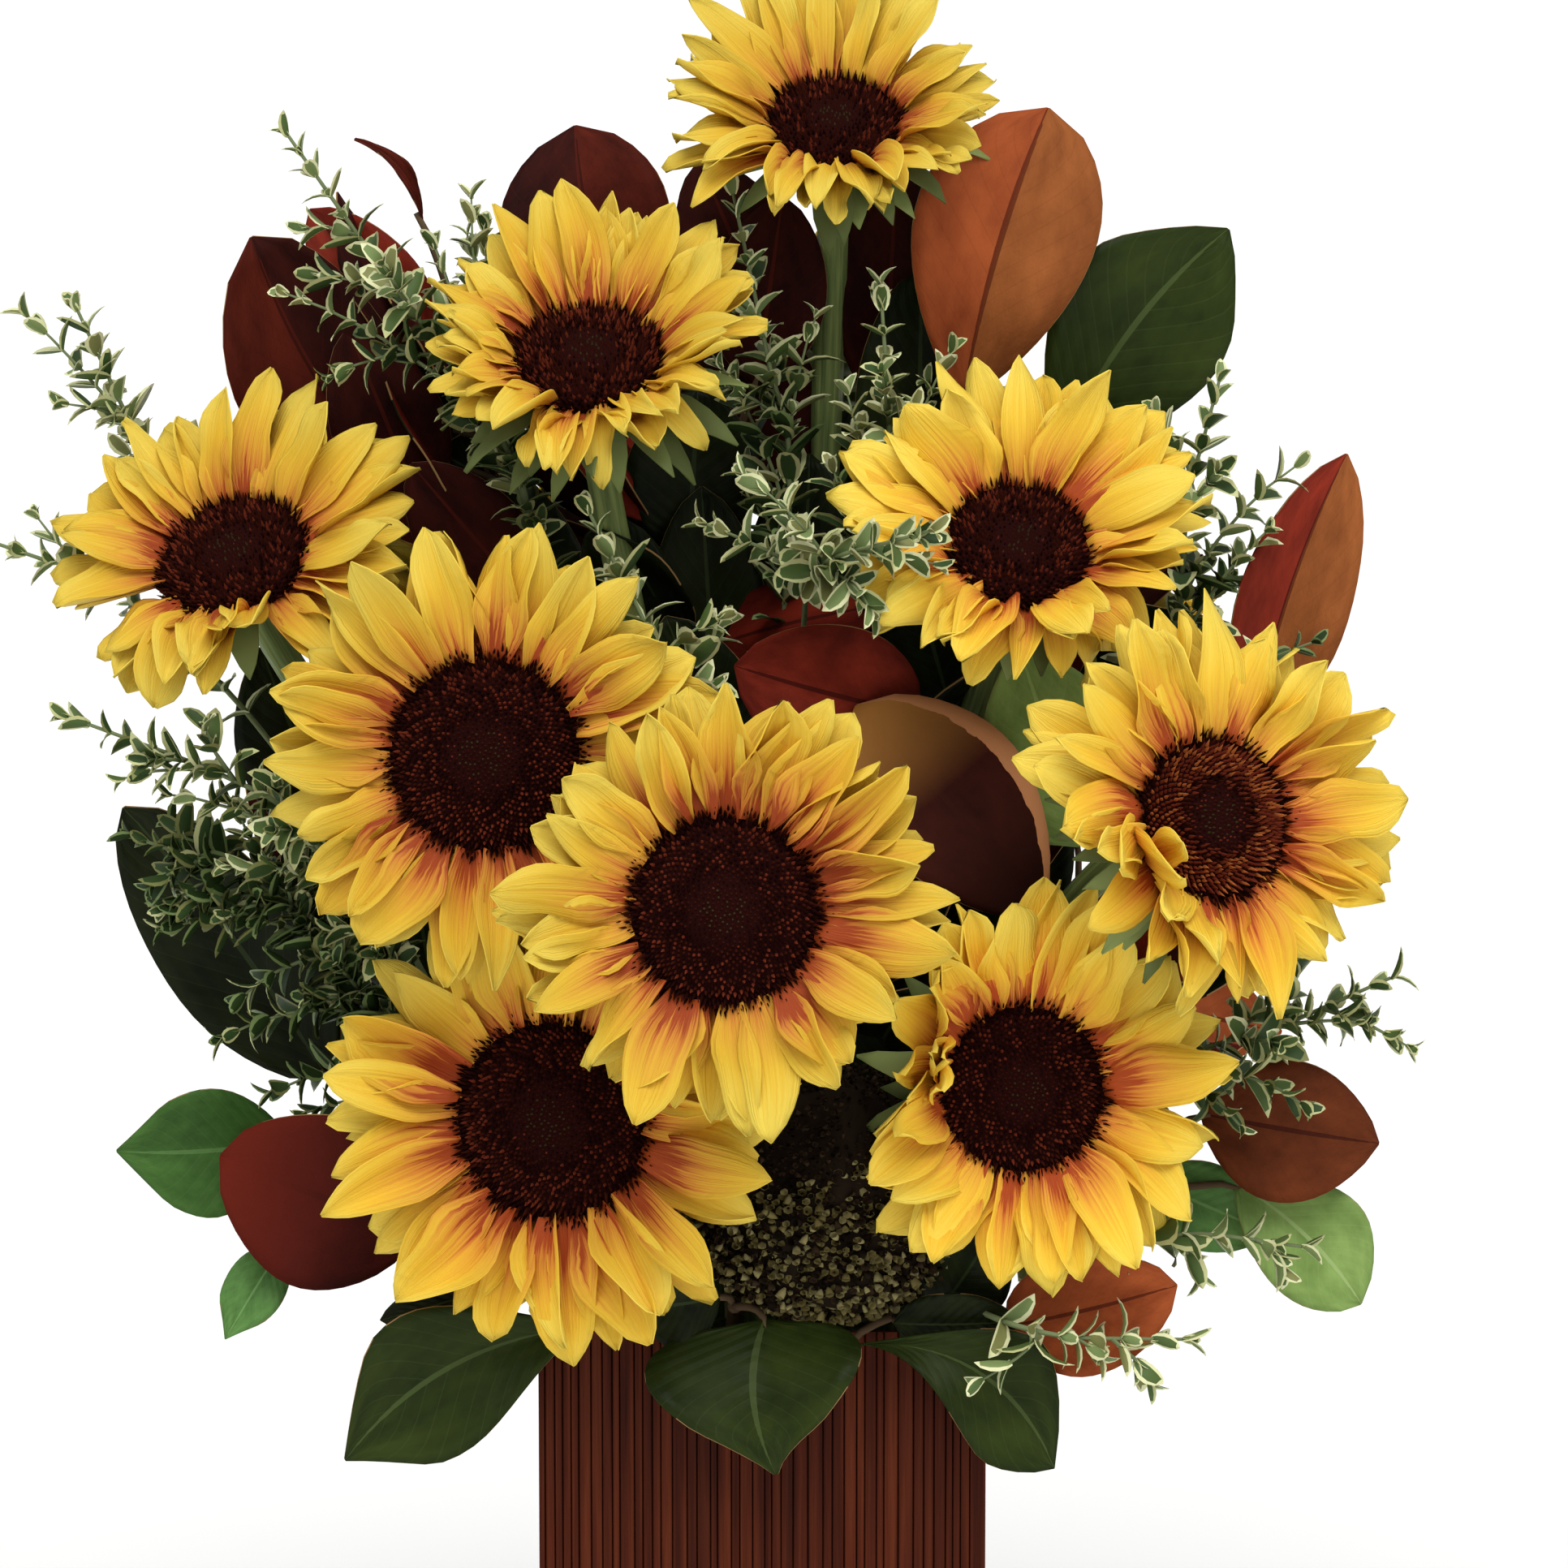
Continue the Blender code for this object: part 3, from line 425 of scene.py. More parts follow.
def smoothPath(points, steps):
    ends = [2 * points[0] - points[1]] + points + [2 * points[-1] - points[-2]]
    path = []
    for k in range(1, len(ends) - 2):
        a, b, c, d = ends[k - 1 : k + 3]
        for step in range(steps):
            t = step / steps
            bend = (2 * a - 5 * b + 4 * c - d) * t * t + (3 * b - a - 3 * c + d) * t**3
            path.append(0.5 * (2 * b + (c - a) * t + bend))
    return path + [points[-1]]


def bezierPath(a, b, c, d, steps):
    path = []
    for step in range(steps + 1):
        t = step / steps
        s = 1 - t
        path.append(a * s**3 + b * 3 * s * s * t + c * 3 * s * t * t + d * t**3)
    return path


vase = {"side": 130, "height": 200, "wall": 7, "fillTop": 188, "overRim": 16}


def risingPath(foot, points, steps):
    # straight up out of the filling and past the rim, then smoothly through the points
    low = Vector((*foot, vase["fillTop"])) * mm
    path = smoothPath([low + up * vase["overRim"] * mm] + [millimetres(p) for p in points], steps)
    return [low, low + up * vase["overRim"] * mm / 2] + path


def pathLength(path):
    return sum((b - a).length for a, b in zip(path, path[1:]))


def pathAt(path, share):
    left = share * pathLength(path)
    for a, b in zip(path, path[1:]):
        length = (b - a).length
        if left <= length:
            return a.lerp(b, left / max(length, 1e-9))
        left -= length
    return path[-1].copy()


def pathHeading(path, share, ahead, behind=0):
    return (pathAt(path, min(share + ahead, 1)) - pathAt(path, max(share - behind, 0))).normalized()


def taper(first, last, count):
    return [first + (last - first) * k / (count - 1) for k in range(count)]


def edgesWithin(verts):
    inside = set(verts)
    return [e for e in {e for v in verts for e in v.link_edges} if set(e.verts) <= inside]


def addTube(bm, path, radii, sides, ribs=0, ribDepth=0.0, flow=None, shade=0):
    # a ring of points carried along the path by extruding its edges
    ring = bmesh.ops.create_circle(bm, cap_ends=True, segments=sides, radius=1)["verts"]
    for vert in ring:
        turn = math.atan2(vert.co.y, vert.co.x)
        vert.co *= 1 + ribDepth * math.cos(ribs * turn)
    before = set(bm.faces) - {f for v in ring for f in v.link_faces}
    across = (path[1] - path[0]).orthogonal().normalized()
    last = Matrix.Identity(4)
    length = 0.0
    for k, point in enumerate(path):
        heading = (path[min(k + 1, len(path) - 1)] - path[max(k - 1, 0)]).normalized()
        across = (across - heading * across.dot(heading)).normalized()
        turn = Matrix((across, heading.cross(across), heading)).transposed().to_4x4()
        here = Matrix.Translation(point) @ turn @ Matrix.Scale(radii[k], 4)
        if k:
            made = bmesh.ops.extrude_edge_only(bm, edges=edgesWithin(ring))["geom"]
            ring = [g for g in made if isinstance(g, bmesh.types.BMVert)]
            length += (point - path[k - 1]).length
        bmesh.ops.transform(bm, matrix=here @ last.inverted(), verts=ring)
        last = here
        if flow is not None:
            back = here.inverted()
            for vert in ring:
                own = (back @ vert.co).normalized()
                vert[flow] = Vector((own.x, own.y, length / 0.01))
    bmesh.ops.edgeloop_fill(bm, edges=edgesWithin(ring))
    made = [f for f in bm.faces if f not in before]
    bmesh.ops.recalc_face_normals(bm, faces=made)
    for face in made:
        face.material_index = shade


# sunflowers: place of the disc's middle, turn to the right and tilt upwards of its face in degrees,
# disc radius, ray length, how far the rays lift off the disc at its upper and lower edge and how far
# they bend over on the way out, then the stem's foot, its rise and its reach behind the head,
# and how golden the rays and how red the disc are from 0 to 1
headSpec = namedtuple("headSpec", "place facing disc ray lifts bends foot rise reach warm red")
headRows = {
    "top": ((21, -6, 546), (0, 50), 20.5, 36, (38, 48), (-10, -50), (12, 8), 150, 60, 0.35, 0.1),
    "upper_left": ((-49, -54, 481), (-3, 52), 22.5, 35, (36, 50), (-8, -50), (-12, -2), 120, 60, 0.45, 0.3),
    "left": ((-152, -42, 423), (-18, 46), 23, 35.5, (30, 20), (-8, -45), (-42, -8), 90, 70, 0.4, 0.2),
    "left_centre": ((-77, -106, 374), (-4, 9), 28.5, 35, (12, 12), (-12, -20), (-30, -24), 70, 72, 0.75, 0.3),
    "centre": ((-10, -142, 336), (0, 8), 27.5, 34, (16, 16), (-16, -22), (-6, -22), 60, 84, 0.7, 0.15),
    "lower_left": ((-59, -98, 269), (-14, 3), 29.5, 38, (10, 14), (-12, -22), (-34, -40), 30, 50, 0.65, 0.15),
    "lower_right": ((74, -88, 276), (8, 6), 25, 34, (14, 22), (-10, -30), (36, -40), 34, 50, 0.55, 0.2),
    "right": ((126, -105, 356), (24, 12), 24, 35, (14, 18), (-12, -30), (44, -20), 70, 66, 0.4, 0.9),
    "upper_right": ((73, -68, 429), (6, 40), 21.5, 35, (28, 36), (-8, -50), (28, -6), 100, 60, 0.4, 0.2),
    "back_top": ((12, 66, 468), (180, 44), 22, 32, (26, 34), (-8, -48), (-2, 34), 120, 50, 0.45, 0.2),
    "back_left": ((-92, 60, 388), (-142, 22), 24, 32, (18, 18), (-10, -30), (-34, 26), 90, 50, 0.5, 0.3),
    "back_right": ((94, 62, 384), (142, 24), 24, 32, (18, 18), (-10, -30), (34, 28), 90, 50, 0.5, 0.2),
    "back_low": ((4, 98, 306), (180, 8), 26, 33, (14, 14), (-12, -20), (4, 44), 50, 50, 0.6, 0.2),
}
heads = {name: headSpec(*row) for name, row in headRows.items()}

# rays that are shorter on one side, and there stand up or curl over the disc on some heads:
# middle and spread in degrees, lift, share of the length, bend
tucks = {
    "lower_right": (168, 62, 46, 0.72, 50),
    "right": (212, 52, 58, 0.85, 60),
    "upper_right": (300, 40, 20, 0.85, 0),
    "left": (290, 30, 34, 0.9, 20),
    "centre": (318, 22, 8, 0.75, 0),
    "upper_left": (180, 70, 0, 0.82, 0),
    "top": (0, 60, 0, 0.82, 0),
}

# how wide the rays of some heads are, and the finish of some, with painted light and shade
rayWidths = {
    "top": 0.84,
    "upper_left": 0.92,
    "left": 1.02,
    "left_centre": 0.9,
    "centre": 0.94,
    "right": 0.9,
    "upper_right": 1.08,
}
# rays painted a shade deeper on the heads that face up into the light, and paler on lower_right in the shade
# of the heads above
rayPaintedLight = {"lower_right": "Pale"}
rayPaintedLight.update((name, "Deep") for name in ("top", "upper_left", "left", "left_centre", "centre"))

headForm = {
    "raysInRing": 21,
    "rings": 3,
    "ringStep": 2.0,
    "ringDrop": 6.0,
    "widthShare": 1.46,
    "lowerShort": 0.005,
    "columns": 4,
    "rows": 11,
    "petalThick": 0.35,
    "lengthSpread": 0.16,
    "turnSpread": 0.3,
    "skipLast": 0.35,
    "steep": 30,
    "liftSpread": (7, 10),
    "bendSpread": 14,
    "under": {"missing": 0.2, "hanging": 0.16, "lift": 20, "bend": -100, "length": 0.9},
    "domeShare": 0.2,
    "neckDepth": 19.0,
    "neckRadius": 5.2,
    "floretStep": 1.38,
}

# what differs from ray to ray: a range or the spread of a bell curve
raySpread = {
    "width": (0.66, 1.14),
    "blunt": (3.0, 6.5),
    "point": (0.66, 0.95),
    "cups": (0.2, 0.35, 0.55, 0.9),
    "pleat": (0.35, 0.95),
    "ruffle": (0.3, 2.3),
    "wave": (0.02, 0.16),
    "twist": 0.42,
    "sway": 0.12,
    "tint": (0.0, 0.85),
}


def faceMatrix(place, turn, tilt):
    out = Vector((math.sin(turn) * math.cos(tilt), -math.cos(turn) * math.cos(tilt), math.sin(tilt)))
    side = Vector((math.cos(turn), math.sin(turn), 0))
    matrix = Matrix((side, out.cross(side), out)).transposed().to_4x4()
    matrix.translation = place
    return matrix


def headPlace(head):
    turn, tilt = head.facing
    return faceMatrix(millimetres(head.place), math.radians(turn), math.radians(tilt))


def mixEdge(pair, turn):
    high, low = pair
    return low + (high - low) * (1 + math.sin(turn)) / 2


# where a petal is full width, how wide its foot is, and how many waves its edges make
petalForm = {"full": 0.32, "foot": 0.5, "least": 0.05, "waves": 9}


def addPetal(bm, layer, form, columns, rows, shade=0):
    # a flat grid shaped into a petal or bract that leaves the head at one turn
    grid = bmesh.ops.create_grid(bm, x_segments=columns, y_segments=rows, size=1)["verts"]
    turn = form["turn"]
    radial = Vector((math.cos(turn), math.sin(turn), 0))
    lateral = Vector((-math.sin(turn), math.cos(turn), 0))
    for vert in grid:
        u, v = vert.co.x, (vert.co.y + 1) / 2
        slope = form["lift"] + form["bend"] * v / 2
        ahead = form["lift"] + form["bend"] * v
        out = form["start"] + form["length"] * v * math.cos(slope)
        rise = form["height"] + form["length"] * v * math.sin(slope)
        foot, wave = petalForm["foot"], petalForm["waves"] * v
        shape = foot + (1 - foot) * min(1, v / petalForm["full"])
        shape *= max(0, 1 - v ** form["blunt"]) ** form["point"]
        half = form["width"] / 2 * max(shape, petalForm["least"])
        half *= 1 + form["wave"] * math.sin(2 * form["phase"] + wave + 2 * u)
        side = u * half
        lift = form["cup"] * half * (u * u - 0.4) + form["pleat"] * math.cos(2 * math.pi * u) * shape
        lift += form["ruffle"] * u * u * math.sin(form["phase"] + wave + 1.2 * u)
        twist = form["twist"] * v
        turned = side * math.cos(twist) - lift * math.sin(twist)
        lift = side * math.sin(twist) + lift * math.cos(twist)
        side = turned + form["sway"] * v * v
        vert.co = radial * (out - lift * math.sin(ahead)) + lateral * side
        vert.co += up * (rise + lift * math.cos(ahead))
        vert[layer] = Vector((u, v, form["tint"]))
    for face in {f for v in grid for f in v.link_faces}:
        face.material_index = shade
    return grid


def tuckShare(name, turn):
    # how strongly a ray at this turn belongs to the head's tucked side
    if name not in tucks:
        return 0.0
    middle, spread = tucks[name][:2]
    apart = abs((math.degrees(turn) - middle + 180) % 360 - 180)
    return math.cos(math.pi / 2 * min(1, apart / spread))


def makeRays(name, head, seed):
    rng = random.Random(100 + seed)
    disc, length = head.disc * mm, head.ray * mm
    tilt = head.facing[1]
    bm = bmesh.new()
    layer = bm.verts.layers.float_vector.new("ray")
    steep = tilt > headForm["steep"]
    count = headForm["raysInRing"] + (2 if steep else 0)
    under = headForm["under"]
    for ring in range(headForm["rings"]):
        drop = headForm["ringDrop"] * ring
        for k in range(count):
            if ring == 2 and rng.random() < headForm["skipLast"]:
                continue
            shift = rng.uniform(-headForm["turnSpread"], headForm["turnSpread"])
            turn = math.tau * (k + ring / headForm["rings"] + shift) / count
            tuck = tuckShare(name, turn)
            own = length * (1 + rng.uniform(-1, 0.9) * headForm["lengthSpread"])
            own *= mixEdge((1, 1 - headForm["lowerShort"] * tilt), turn)
            spread, most = headForm["liftSpread"]
            lift = mixEdge(head.lifts, turn) - drop + min(most, rng.gauss(0, spread))
            bend = mixEdge(head.bends, turn) + rng.gauss(0, headForm["bendSpread"])
            if tuck:
                own *= 1 - tuck * (1 - tucks[name][3]) * rng.uniform(0.7, 1.1)
                lift += tuck * tucks[name][2] * rng.uniform(0.4, 1.2)
                bend += tuck * tucks[name][4] * rng.uniform(0.3, 1.2)
            if steep and math.sin(turn) < -0.5:
                # under a head that looks up some rays are missing and some hang straight down
                if rng.random() < under["missing"]:
                    continue
                if rng.random() < under["hanging"]:
                    lift, bend, own = under["lift"], under["bend"], own * under["length"]
            wide = math.tau * (disc + own * 0.45) / count * headForm["widthShare"]
            wide *= rng.uniform(*raySpread["width"])
            form = {
                "turn": turn,
                "start": disc * (0.93 - 0.02 * ring),
                "height": (0.6 - headForm["ringStep"] * ring) * mm,
                "length": own + disc * 0.07,
                "lift": math.radians(lift),
                "bend": math.radians(bend),
                "width": wide * rayWidths.get(name, 1),
                "blunt": rng.uniform(*raySpread["blunt"]),
                "point": rng.uniform(*raySpread["point"]),
                "cup": rng.choice(raySpread["cups"]) * rng.choice((1, 1, 1, -0.5)) * (1 - 0.8 * tuck),
                "pleat": rng.uniform(*raySpread["pleat"]) * mm,
                "ruffle": rng.uniform(*raySpread["ruffle"]) * mm,
                "wave": rng.uniform(*raySpread["wave"]),
                "phase": rng.uniform(0, math.tau),
                "twist": rng.gauss(0, raySpread["twist"]),
                "sway": rng.gauss(0, raySpread["sway"]) * own,
                "tint": rng.uniform(*raySpread["tint"]) - 0.55 * (head.warm - 0.35),
            }
            form["tint"] -= 0.25 * tuck * rng.random()
            addPetal(bm, layer, form, headForm["columns"], headForm["rows"])
    bmesh.ops.transform(bm, matrix=headPlace(head), verts=bm.verts)
    thicken(bm, bm.faces, headForm["petalThick"])
    finish = "rayPetal" + rayPaintedLight.get(name, "")
    addPiece("rays_" + name, bm, [finish], ["bloom_" + name])


def coreMesh(disc):
    # the disc's dome, the rim and the green back down to the neck, turned on a lathe
    neck, depth = headForm["neckRadius"], headForm["neckDepth"]
    dome = disc * headForm["domeShare"]
    profile = [(0, dome), (disc * 0.35, dome * 0.86), (disc * 0.7, dome * 0.5), (disc * 0.96, 0)]
    profile += [(disc * 0.97, -4.5), (disc * 0.8, -8), (disc * 0.5, -11.5), (neck * 1.5, -15)]
    profile += [(neck, -depth), (0, -depth)]
    bm = bmesh.new()
    verts = [bm.verts.new((r * mm, 0, z * mm)) for r, z in profile]
    edges = [bm.edges.new(pair) for pair in zip(verts, verts[1:])]
    lathe = {"cent": (0, 0, 0), "axis": (0, 0, 1), "angle": math.tau, "steps": 32, "use_merge": True}
    bmesh.ops.spin(bm, geom=verts + edges, **lathe)
    bmesh.ops.remove_doubles(bm, verts=bm.verts, dist=1e-5)
    bmesh.ops.recalc_face_normals(bm, faces=bm.faces)
    for face in bm.faces:
        face.material_index = 0 if face.calc_center_median().z > -4 * mm else 1
    return bm


def floretMesh():
    # a small open cone with its point closed flat
    bm = bmesh.new()
    bmesh.ops.create_cone(bm, cap_ends=False, segments=5, radius1=0.5, radius2=0.06, depth=1)
    bmesh.ops.translate(bm, verts=bm.verts, vec=(0, 0, 0.5))
    top = [e for e in bm.edges if min(v.co.z for v in e.verts) > 0.9]
    bmesh.ops.edgeloop_fill(bm, edges=top)
    bm.verts.index_update()
    return bm


# how far out on the disc, as a share, florets are green, short and dark, and where the tall rim starts
floretForm = {
    "count": 3.3,
    "middle": 0.24,
    "young": 0.35,
    "closed": 0.5,
    "rim": 0.86,
    "tall": (1.4, 2.5),
    "rimTall": (2.4, 4.4),
    "lean": 0.75,
    "sink": 0.6,
}


def floretShade(share, pick, red):
    # a number in floretKinds for a floret this far out on a disc this red
    if share > floretForm["rim"]:
        return 0 if pick < 0.7 else 1
    if share > floretForm["closed"]:
        if red > 0.5 and pick > 0.68:
            return 4
        return 2 if pick < 0.2 + red * 0.6 else 1 if pick < 0.75 else 0
    if share > floretForm["middle"]:
        return 0 if pick < 0.45 - red * 0.3 else 2 if pick > 1 - red * 0.35 else 1
    return 3 if pick < 0.4 else 1


floretKinds = ["floretDark", "floretBrown", "floretRed", "floretOlive", "pollenOrange"]


def makeDisc(name, head, seed):
    rng = random.Random(300 + seed)
    disc, red = head.disc, head.red
    place = headPlace(head)
    core = coreMesh(disc)
    bmesh.ops.transform(core, matrix=place, verts=core.verts)
    places, shades = [], []
    count = int((disc / headForm["floretStep"]) ** 2 * floretForm["count"])
    for k in range(count):
        share = math.sqrt((k + 0.5) / count)
        turn = k * goldenTurn
        r = disc * share
        rise = disc * headForm["domeShare"] * (1 - share**2)
        lean = share**3 * floretForm["lean"] + rng.uniform(-0.15, 0.15)
        if share > floretForm["rim"]:
            tall = rng.uniform(*floretForm["rimTall"])
        else:
            tall = rng.uniform(*floretForm["tall"]) * (0.7 if share < floretForm["young"] else 1 + red * 0.6)
        thick = 1.3 if share > 0.4 else 1.0
        rise -= floretForm["sink"]
        own = Matrix.Translation(Vector((r * math.cos(turn), r * math.sin(turn), rise)) * mm)
        own = own @ Matrix.Rotation(turn + rng.uniform(-0.25, 0.25), 4, "Z") @ Matrix.Rotation(lean, 4, "Y")
        own = own @ Matrix.Diagonal((thick * mm, thick * mm, tall * mm, 1))
        places.append(place @ own)
        shades.append(floretShade(share, rng.random(), red))
    template = floretMesh()
    mesh = joinedCopies("florets_" + name, template, places, shades)
    template.free()
    addPiece("florets_" + name, mesh, floretKinds, ["bloom_" + name], smooth=False)
    addPiece("disc_" + name, core, ["floretDark", "bractGreen"], ["bloom_" + name])


# "full" is the head that shows its bracts all round
bractForm = {
    "rings": 2,
    "inRing": 13,
    "start": (0.78, 0.2),
    "height": (7.5, 3),
    "length": 27.0,
    "width": 10.0,
    "thick": 0.4,
    "lift": (2, 16),
    "bend": (-60, -10),
    "full": "upper_left",
    "skipLow": 0.45,
}


def makeBracts():
    bm = bmesh.new()
    layer = bm.verts.layers.float_vector.new("ray")
    for seed, (name, head) in enumerate(heads.items()):
        rng = random.Random(500 + seed)
        looksUp = head.facing[1] > headForm["steep"] and name != bractForm["full"]
        made = []
        for ring in range(bractForm["rings"]):
            for k in range(bractForm["inRing"]):
                turn = math.tau * (k + ring / 2 + rng.uniform(-0.2, 0.2)) / bractForm["inRing"]
                low = looksUp and math.sin(turn) < 0
                if low and rng.random() < bractForm["skipLow"]:
                    continue
                form = {
                    "turn": turn,
                    "start": head.disc * (bractForm["start"][0] - bractForm["start"][1] * ring) * mm,
                    "height": (-bractForm["height"][0] - bractForm["height"][1] * ring) * mm,
                    "length": bractForm["length"] * rng.uniform(0.8, 1.15) * (0.8 if low else 1) * mm,
                    "lift": math.radians(rng.uniform(*bractForm["lift"]) - 12 * ring),
                    "bend": math.radians(rng.uniform(*bractForm["bend"])),
                    "width": bractForm["width"] * rng.uniform(0.8, 1.2) * mm,
                    "blunt": 1.7,
                    "point": 0.7,
                    "cup": 0.3,
                    "pleat": 0.0,
                    "ruffle": 0.5 * mm,
                    "wave": 0.08,
                    "phase": rng.uniform(0, math.tau),
                    "twist": rng.gauss(0, 0.3),
                    "sway": rng.gauss(0, 2) * mm,
                    "tint": 0.5,
                }
                made += addPetal(bm, layer, form, 2, 5, rng.choice((0, 0, 1)))
        bmesh.ops.transform(bm, matrix=headPlace(head), verts=made)
    thicken(bm, bm.faces, bractForm["thick"])
    nodes = ["bloom_" + name for name in heads]
    addPiece("bracts", bm, ["bractGreen", "bractPale"], nodes)


stemForm = {"top": 4.2, "foot": 5.0, "sides": 24, "ribs": 8, "ribDepth": 0.07, "steps": 22}


def stemPath(head, steps):
    matrix = headPlace(head)
    out = matrix.to_3x3() @ up
    low = Vector((*head.foot, vase["fillTop"])) * mm
    neck = matrix.translation - out * headForm["neckDepth"] * mm
    path = bezierPath(low, low + up * head.rise * mm, neck - out * head.reach * mm, neck, steps)
    return path + [neck + out * 3 * mm]


def makeStems():
    bm = bmesh.new()
    flow = bm.verts.layers.float_vector.new("flow")
    for head in heads.values():
        path = stemPath(head, stemForm["steps"])
        radii = taper(stemForm["foot"] * mm, stemForm["top"] * mm, len(path))
        addTube(bm, path, radii, stemForm["sides"], stemForm["ribs"], stemForm["ribDepth"], flow)
    nodes = ["stem_" + name for name in heads]
    addPiece("stems", bm, ["stemGreen"], nodes)


